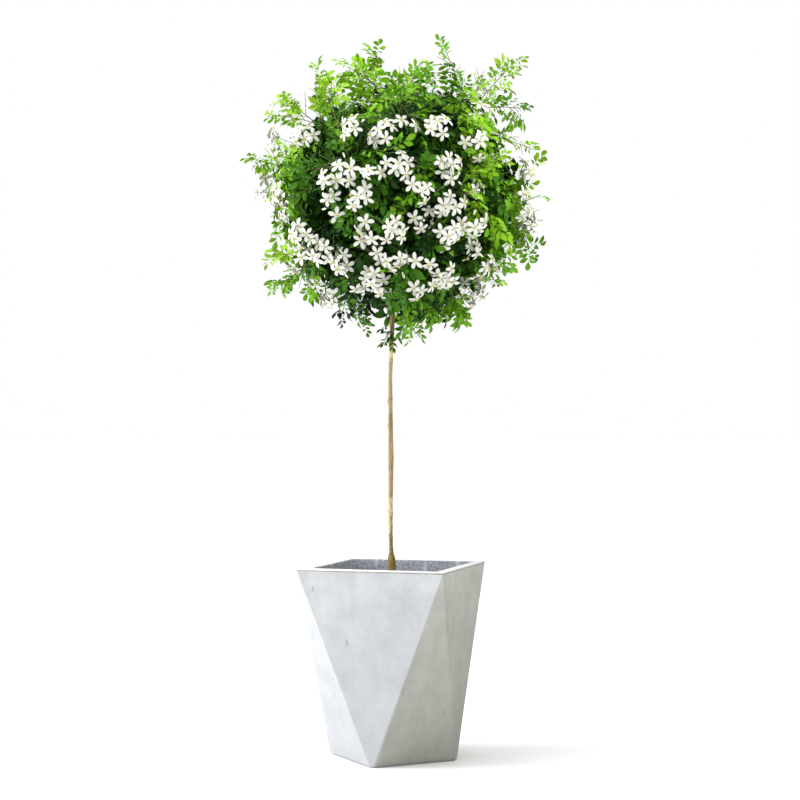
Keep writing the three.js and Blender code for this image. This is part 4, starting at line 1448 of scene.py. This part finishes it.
def set_leaf(twig, spot, way, green, size_range):
    """Sets one leaf at a spot along a way, in the largest of a few sizes that fits."""
    way = unit(way - UP * grow_rng.uniform(*LEAF_DROOP))
    full_size = grow_rng.uniform(*size_range)
    sizes = [full_size * share for share in LEAF_TRIES]
    fitting = [size for size in sizes if leaf_fits(twig["mass"], spot, way, size, twig["going"])]
    if not fitting:
        return
    face = UP * LEAF_FACE_UP + unit(spot - head_centre) * LEAF_FACE_OUT
    face = unit(face + grow_rng.normal(0.0, FACE_SCATTER, 3))
    leaf_sets[green][grow_rng.integers(len(LEAF_KINDS))].append((leaf_axes(face, way, fitting[0]), spot))


for stem in stem_list:
    for k in range(LEAVES_PER_STEM):
        spot = stem["line"][k % (STEM_POINTS - 1) + 1]
        way = unit(unit(spot - head_centre) * STEM_LEAF_OUT + grow_rng.normal(0.0, 1.0, 3))
        # Painted shade: the leaves on the stems inside the head take the deep and dark greens
        set_leaf(stem, spot, way, min(k % 3, 1), LEAF_SIZES)
for shoot in shoot_list:
    green = green_at(shoot["line"][-1])
    spin = grow_rng.uniform(0.0, 2.0 * math.pi)
    for k in range(LEAVES_PER_SHOOT):
        along = (k + FIRST_LEAF) / (LEAVES_PER_SHOOT - 1 + FIRST_LEAF)
        spot, run = along_line(shoot["line"], along)
        spread = LEAF_SPREAD * grow_rng.uniform(*SHOOT_LEAF_VARIES)
        if k == LEAVES_PER_SHOOT - 1:
            spread = spread * SHOOT_END_SPREAD
        set_leaf(shoot, spot, leaned(run, spread, spin + GOLDEN_ANGLE * k), green, LEAF_SIZES)
for twig in twig_list:
    green = green_at(twig["line"][-1])
    for k in range(LEAVES_PER_TWIG):
        along = TWIG_LEAVES_FROM + (1.0 - TWIG_LEAVES_FROM) * (k + 1) / LEAVES_PER_TWIG
        spot, run = along_line(twig["line"], along)
        spread = LEAF_SPREAD * grow_rng.uniform(*TWIG_LEAF_VARIES)
        if k == LEAVES_PER_TWIG - 1:
            spread = spread * TWIG_END_SPREAD
        spin = twig["number"] + math.pi * k + grow_rng.normal(0.0, TWIG_LEAF_SCATTER)
        set_leaf(twig, spot, leaned(run, spread, spin), green, TWIG_LEAF_SIZES)
print("leaves of each green:", [sum(len(kind) for kind in kinds) for kinds in leaf_sets])

# %% [markdown]
# ## The sprig on the stem
# A last small shoot of dull, dark leaves clings to the bare stem just under the head. It is grown
# from given numbers: one short woody stub and a handful of small leaves that hang round it.

# %% Grow the sprig
SPRIG_HEIGHT = 0.770
SPRIG_BEARING = 268.0
SPRIG_RISE = 52.0
SPRIG_LENGTH = 0.046
SPRIG_LEAVES = 9
SPRIG_LEAF_SIZE = 0.42
SPRIG_LEAVES_FROM = 0.15
SPRIG_ALONG = 0.4
SPRIG_DROOP = 0.8
SPRIG_FACE_UP = 0.5
SPRIG_RADII = (0.0034, 0.0008)

sprig_start = trunk_at(SPRIG_HEIGHT)
sprig_way = towards(SPRIG_BEARING, SPRIG_RISE)
sprig_end = sprig_start + sprig_way * SPRIG_LENGTH
add_tubes(wood_tubes, np.array([sprig_start, sprig_end]), SPRIG_RADII)
for k in range(SPRIG_LEAVES):
    share = SPRIG_LEAVES_FROM + (1.0 - SPRIG_LEAVES_FROM) * k / (SPRIG_LEAVES - 1)
    spot = sprig_start + (sprig_end - sprig_start) * share
    way = unit(sprig_way * SPRIG_ALONG + across(sprig_way, GOLDEN_ANGLE * k) - UP * SPRIG_DROOP)
    axes = leaf_axes(UP * SPRIG_FACE_UP + sprig_way, way, SPRIG_LEAF_SIZE)
    leaf_sets[k % 2][k % len(LEAF_KINDS)].append((axes, spot))
print("sprig:", SPRIG_LEAVES, "leaves")

# %% [markdown]
# ## Leaf finish
# Leaflets are leathery and shine softly where they catch the lamp. The colour of a spray is plain,
# so it stays with its leaves. The gloss varies a little, and a fine relief breaks it up as veins do.
# Greens with many leaves are joined into several pieces, which keeps each mesh easy to handle.

# %% Finish and join the leaves
LEAF_GLOSS = ((0.3, (0.38,)), (0.7, (0.58,)))
LEAF_SHINE = 0.09
LEAF_SHEEN = (60.0, 2.0)
LEAF_VEINS = (380.0, 2.0)
LEAF_RELIEF = (0.0007, 0.5)
LEAVES_PER_PIECE = 1500


def leaf_finish(name, colour):
    """One plain green with a soft, uneven gloss and fine veins."""
    finish = new_finish(name, colour, 0.45)
    finish.node_tree.nodes["Principled BSDF"].inputs["Specular IOR Level"].default_value = LEAF_SHINE
    place = object_place(finish)
    set_input(finish, "Roughness", ramp_of(finish, noise_over(finish, place, *LEAF_SHEEN), LEAF_GLOSS))
    add_relief(finish, noise_over(finish, place, *LEAF_VEINS), *LEAF_RELIEF)
    return finish


def leaf_copies(shape, leaves):
    """One kind of leaf at all the places of a list."""
    return copies_of(shape, np.array([axes for axes, _ in leaves]), np.array([spot for _, spot in leaves]))


for (green_name, green_colour), kinds in zip(GREENS, leaf_sets):
    finish = leaf_finish(f"leaf_{green_name}", green_colour)
    pieces = math.ceil(sum(len(kind) for kind in kinds) / LEAVES_PER_PIECE)
    for number in range(pieces):
        shares = [(shape, kind[number::pieces]) for shape, kind in zip(leaf_shapes, kinds)]
        leaves = join_shapes([leaf_copies(shape, share) for shape, share in shares if share])
        name = f"leaves_{green_name}_{number + 1}"
        place_piece(name, mesh_from(name, leaves), finish, FOLIAGE_NODES)
        print(name, len(leaves[1]), "faces")

# %% [markdown]
# ## Blossom finish
# Petals are white and matte with a hint of ribs, the middles a clear yellow green and the buds a
# greenish cream. Each kind is one mesh with one plain colour.

# %% Finish and join the blossom
PETAL_WHITE = (0.610, 0.608, 0.560)
MIDDLE_YELLOW = (0.600, 0.600, 0.240)
BUD_CREAM = (0.780, 0.810, 0.620)
PETAL_RIBS = (700.0, 2.0)
PETAL_GRAIN = (200.0, 2.0)
PETAL_RELIEF = (0.0004, 0.5)
GLOSS_CHANGES = (-0.08, 0.1)


def petal_finish(name, colour, roughness):
    """Matte and faintly ribbed, as petals are."""
    finish = new_finish(name, colour, roughness)
    place = object_place(finish)
    add_relief(finish, noise_over(finish, place, *PETAL_RIBS), *PETAL_RELIEF)
    grain = noise_over(finish, place, *PETAL_GRAIN)
    smoothest, roughest = (roughness + change for change in GLOSS_CHANGES)
    gloss = [(0.3, (smoothest,)), (0.7, (roughest,))]
    set_input(finish, "Roughness", ramp_of(finish, grain, gloss))
    return finish


white_petal = petal_finish("white_petal", PETAL_WHITE, 0.55)
yellow_middle = petal_finish("yellow_middle", MIDDLE_YELLOW, 0.6)
cream_bud = petal_finish("cream_bud", BUD_CREAM, 0.55)
blossom_parts = (
    ("blossom_petals", petals, flower_axes, flower_spots, white_petal),
    ("blossom_middles", flower_middle, flower_axes, flower_spots, yellow_middle),
    ("blossom_buds", bud, bud_axes, bud_spots, cream_bud),
)
for name, shape, axes, spots, finish in blossom_parts:
    mesh = mesh_from(name, copies_of(shape, np.array(axes), np.array(spots)))
    piece = place_piece(name, mesh, finish, FOLIAGE_NODES)
    print(piece.name, len(mesh.polygons), "faces")

# %% [markdown]
# ## The wood of the head
# The stems and twigs are olive brown, the young shoots and flower stalks green. One tube with five
# sides is modelled, its far end filled and poked out to a point. Every length of wood is a copy of
# it, stretched from its root to its tip and a little wider at the root.

# %% Make the twigs and shoots
TUBE_SIDES = 5
TWIG_OLIVE = (0.130, 0.105, 0.040)
SHOOT_GREEN = (0.110, 0.230, 0.030)
DARK_SHARE = 0.55
TWIG_PATCHES = (130.0, 3.0)
TWIG_GRAIN = (600.0, 2.0)
TWIG_RELIEF = (0.0004, 0.5)

tube_bm = open_cone(1.0, 1.0, 1.0, TUBE_SIDES)
far_edges = [edge for edge in tube_bm.edges if all(vert.co.x > 0.5 for vert in edge.verts)]
far_end = bmesh.ops.holes_fill(tube_bm, edges=far_edges, sides=TUBE_SIDES)["faces"]
bmesh.ops.recalc_face_normals(tube_bm, faces=tube_bm.faces)
bmesh.ops.poke(tube_bm, faces=far_end, offset=1.0)
tube_points, tube_triangles = shape_of(tube_bm)


def tubes_shape(tubes):
    """A copy of the tube for each pair of points, as thick as it is at its root and its tip."""
    starts, ends, thick, thin = (np.array(column)[:, None] for column in zip(*tubes))
    ways = unit(ends - starts)
    sides = unit(np.cross(ways, SLANT))
    along = np.minimum(tube_points[:, 0], 1.0)
    beyond = tube_points[:, 0] - along
    radii = (thick + (thin - thick) * along)[..., None]
    spokes = sides * tube_points[:, 1, None] + np.cross(ways, sides) * tube_points[:, 2, None]
    points = starts + (ends - starts) * along[:, None] + ways * (thin * beyond)[..., None] + spokes * radii
    offsets = np.arange(len(tubes))[:, None, None] * len(tube_points)
    return points.reshape(-1, 3), (tube_triangles[None] + offsets).reshape(-1, 3)


def twig_finish(name, colour):
    """Thin bark, darker in patches."""
    finish = new_finish(name, colour, 0.7)
    place = object_place(finish)
    shade = noise_over(finish, place, *TWIG_PATCHES)
    dark = tuple(value * DARK_SHARE for value in colour)
    set_input(finish, "Base Color", ramp_of(finish, shade, [(0.35, dark), (0.65, colour)]))
    add_relief(finish, noise_over(finish, place, *TWIG_GRAIN), *TWIG_RELIEF)
    return finish


for name, tubes, colour in (("twigs", wood_tubes, TWIG_OLIVE), ("shoots", shoot_tubes, SHOOT_GREEN)):
    mesh = mesh_from(name, tubes_shape(tubes))
    piece = place_piece(name, mesh, twig_finish(f"{name}_finish", colour), FOLIAGE_NODES)
    print(piece.name, len(mesh.polygons), "faces")

# %% [markdown]
# ## Size
# The finished plant's box is set against the box of the solids: how far it reaches beyond them on
# each side is printed in millimetres. The finished plant has to stay within the box of the
# solids.

# %% Compare the boxes and finish
new_low, new_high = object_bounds()
over_high = [round(1000 * value, 1) for value in (new_high - cad_high)]
over_low = [round(1000 * value, 1) for value in (cad_low - new_low)]
print("box over the solids (mm):", over_high, over_low)
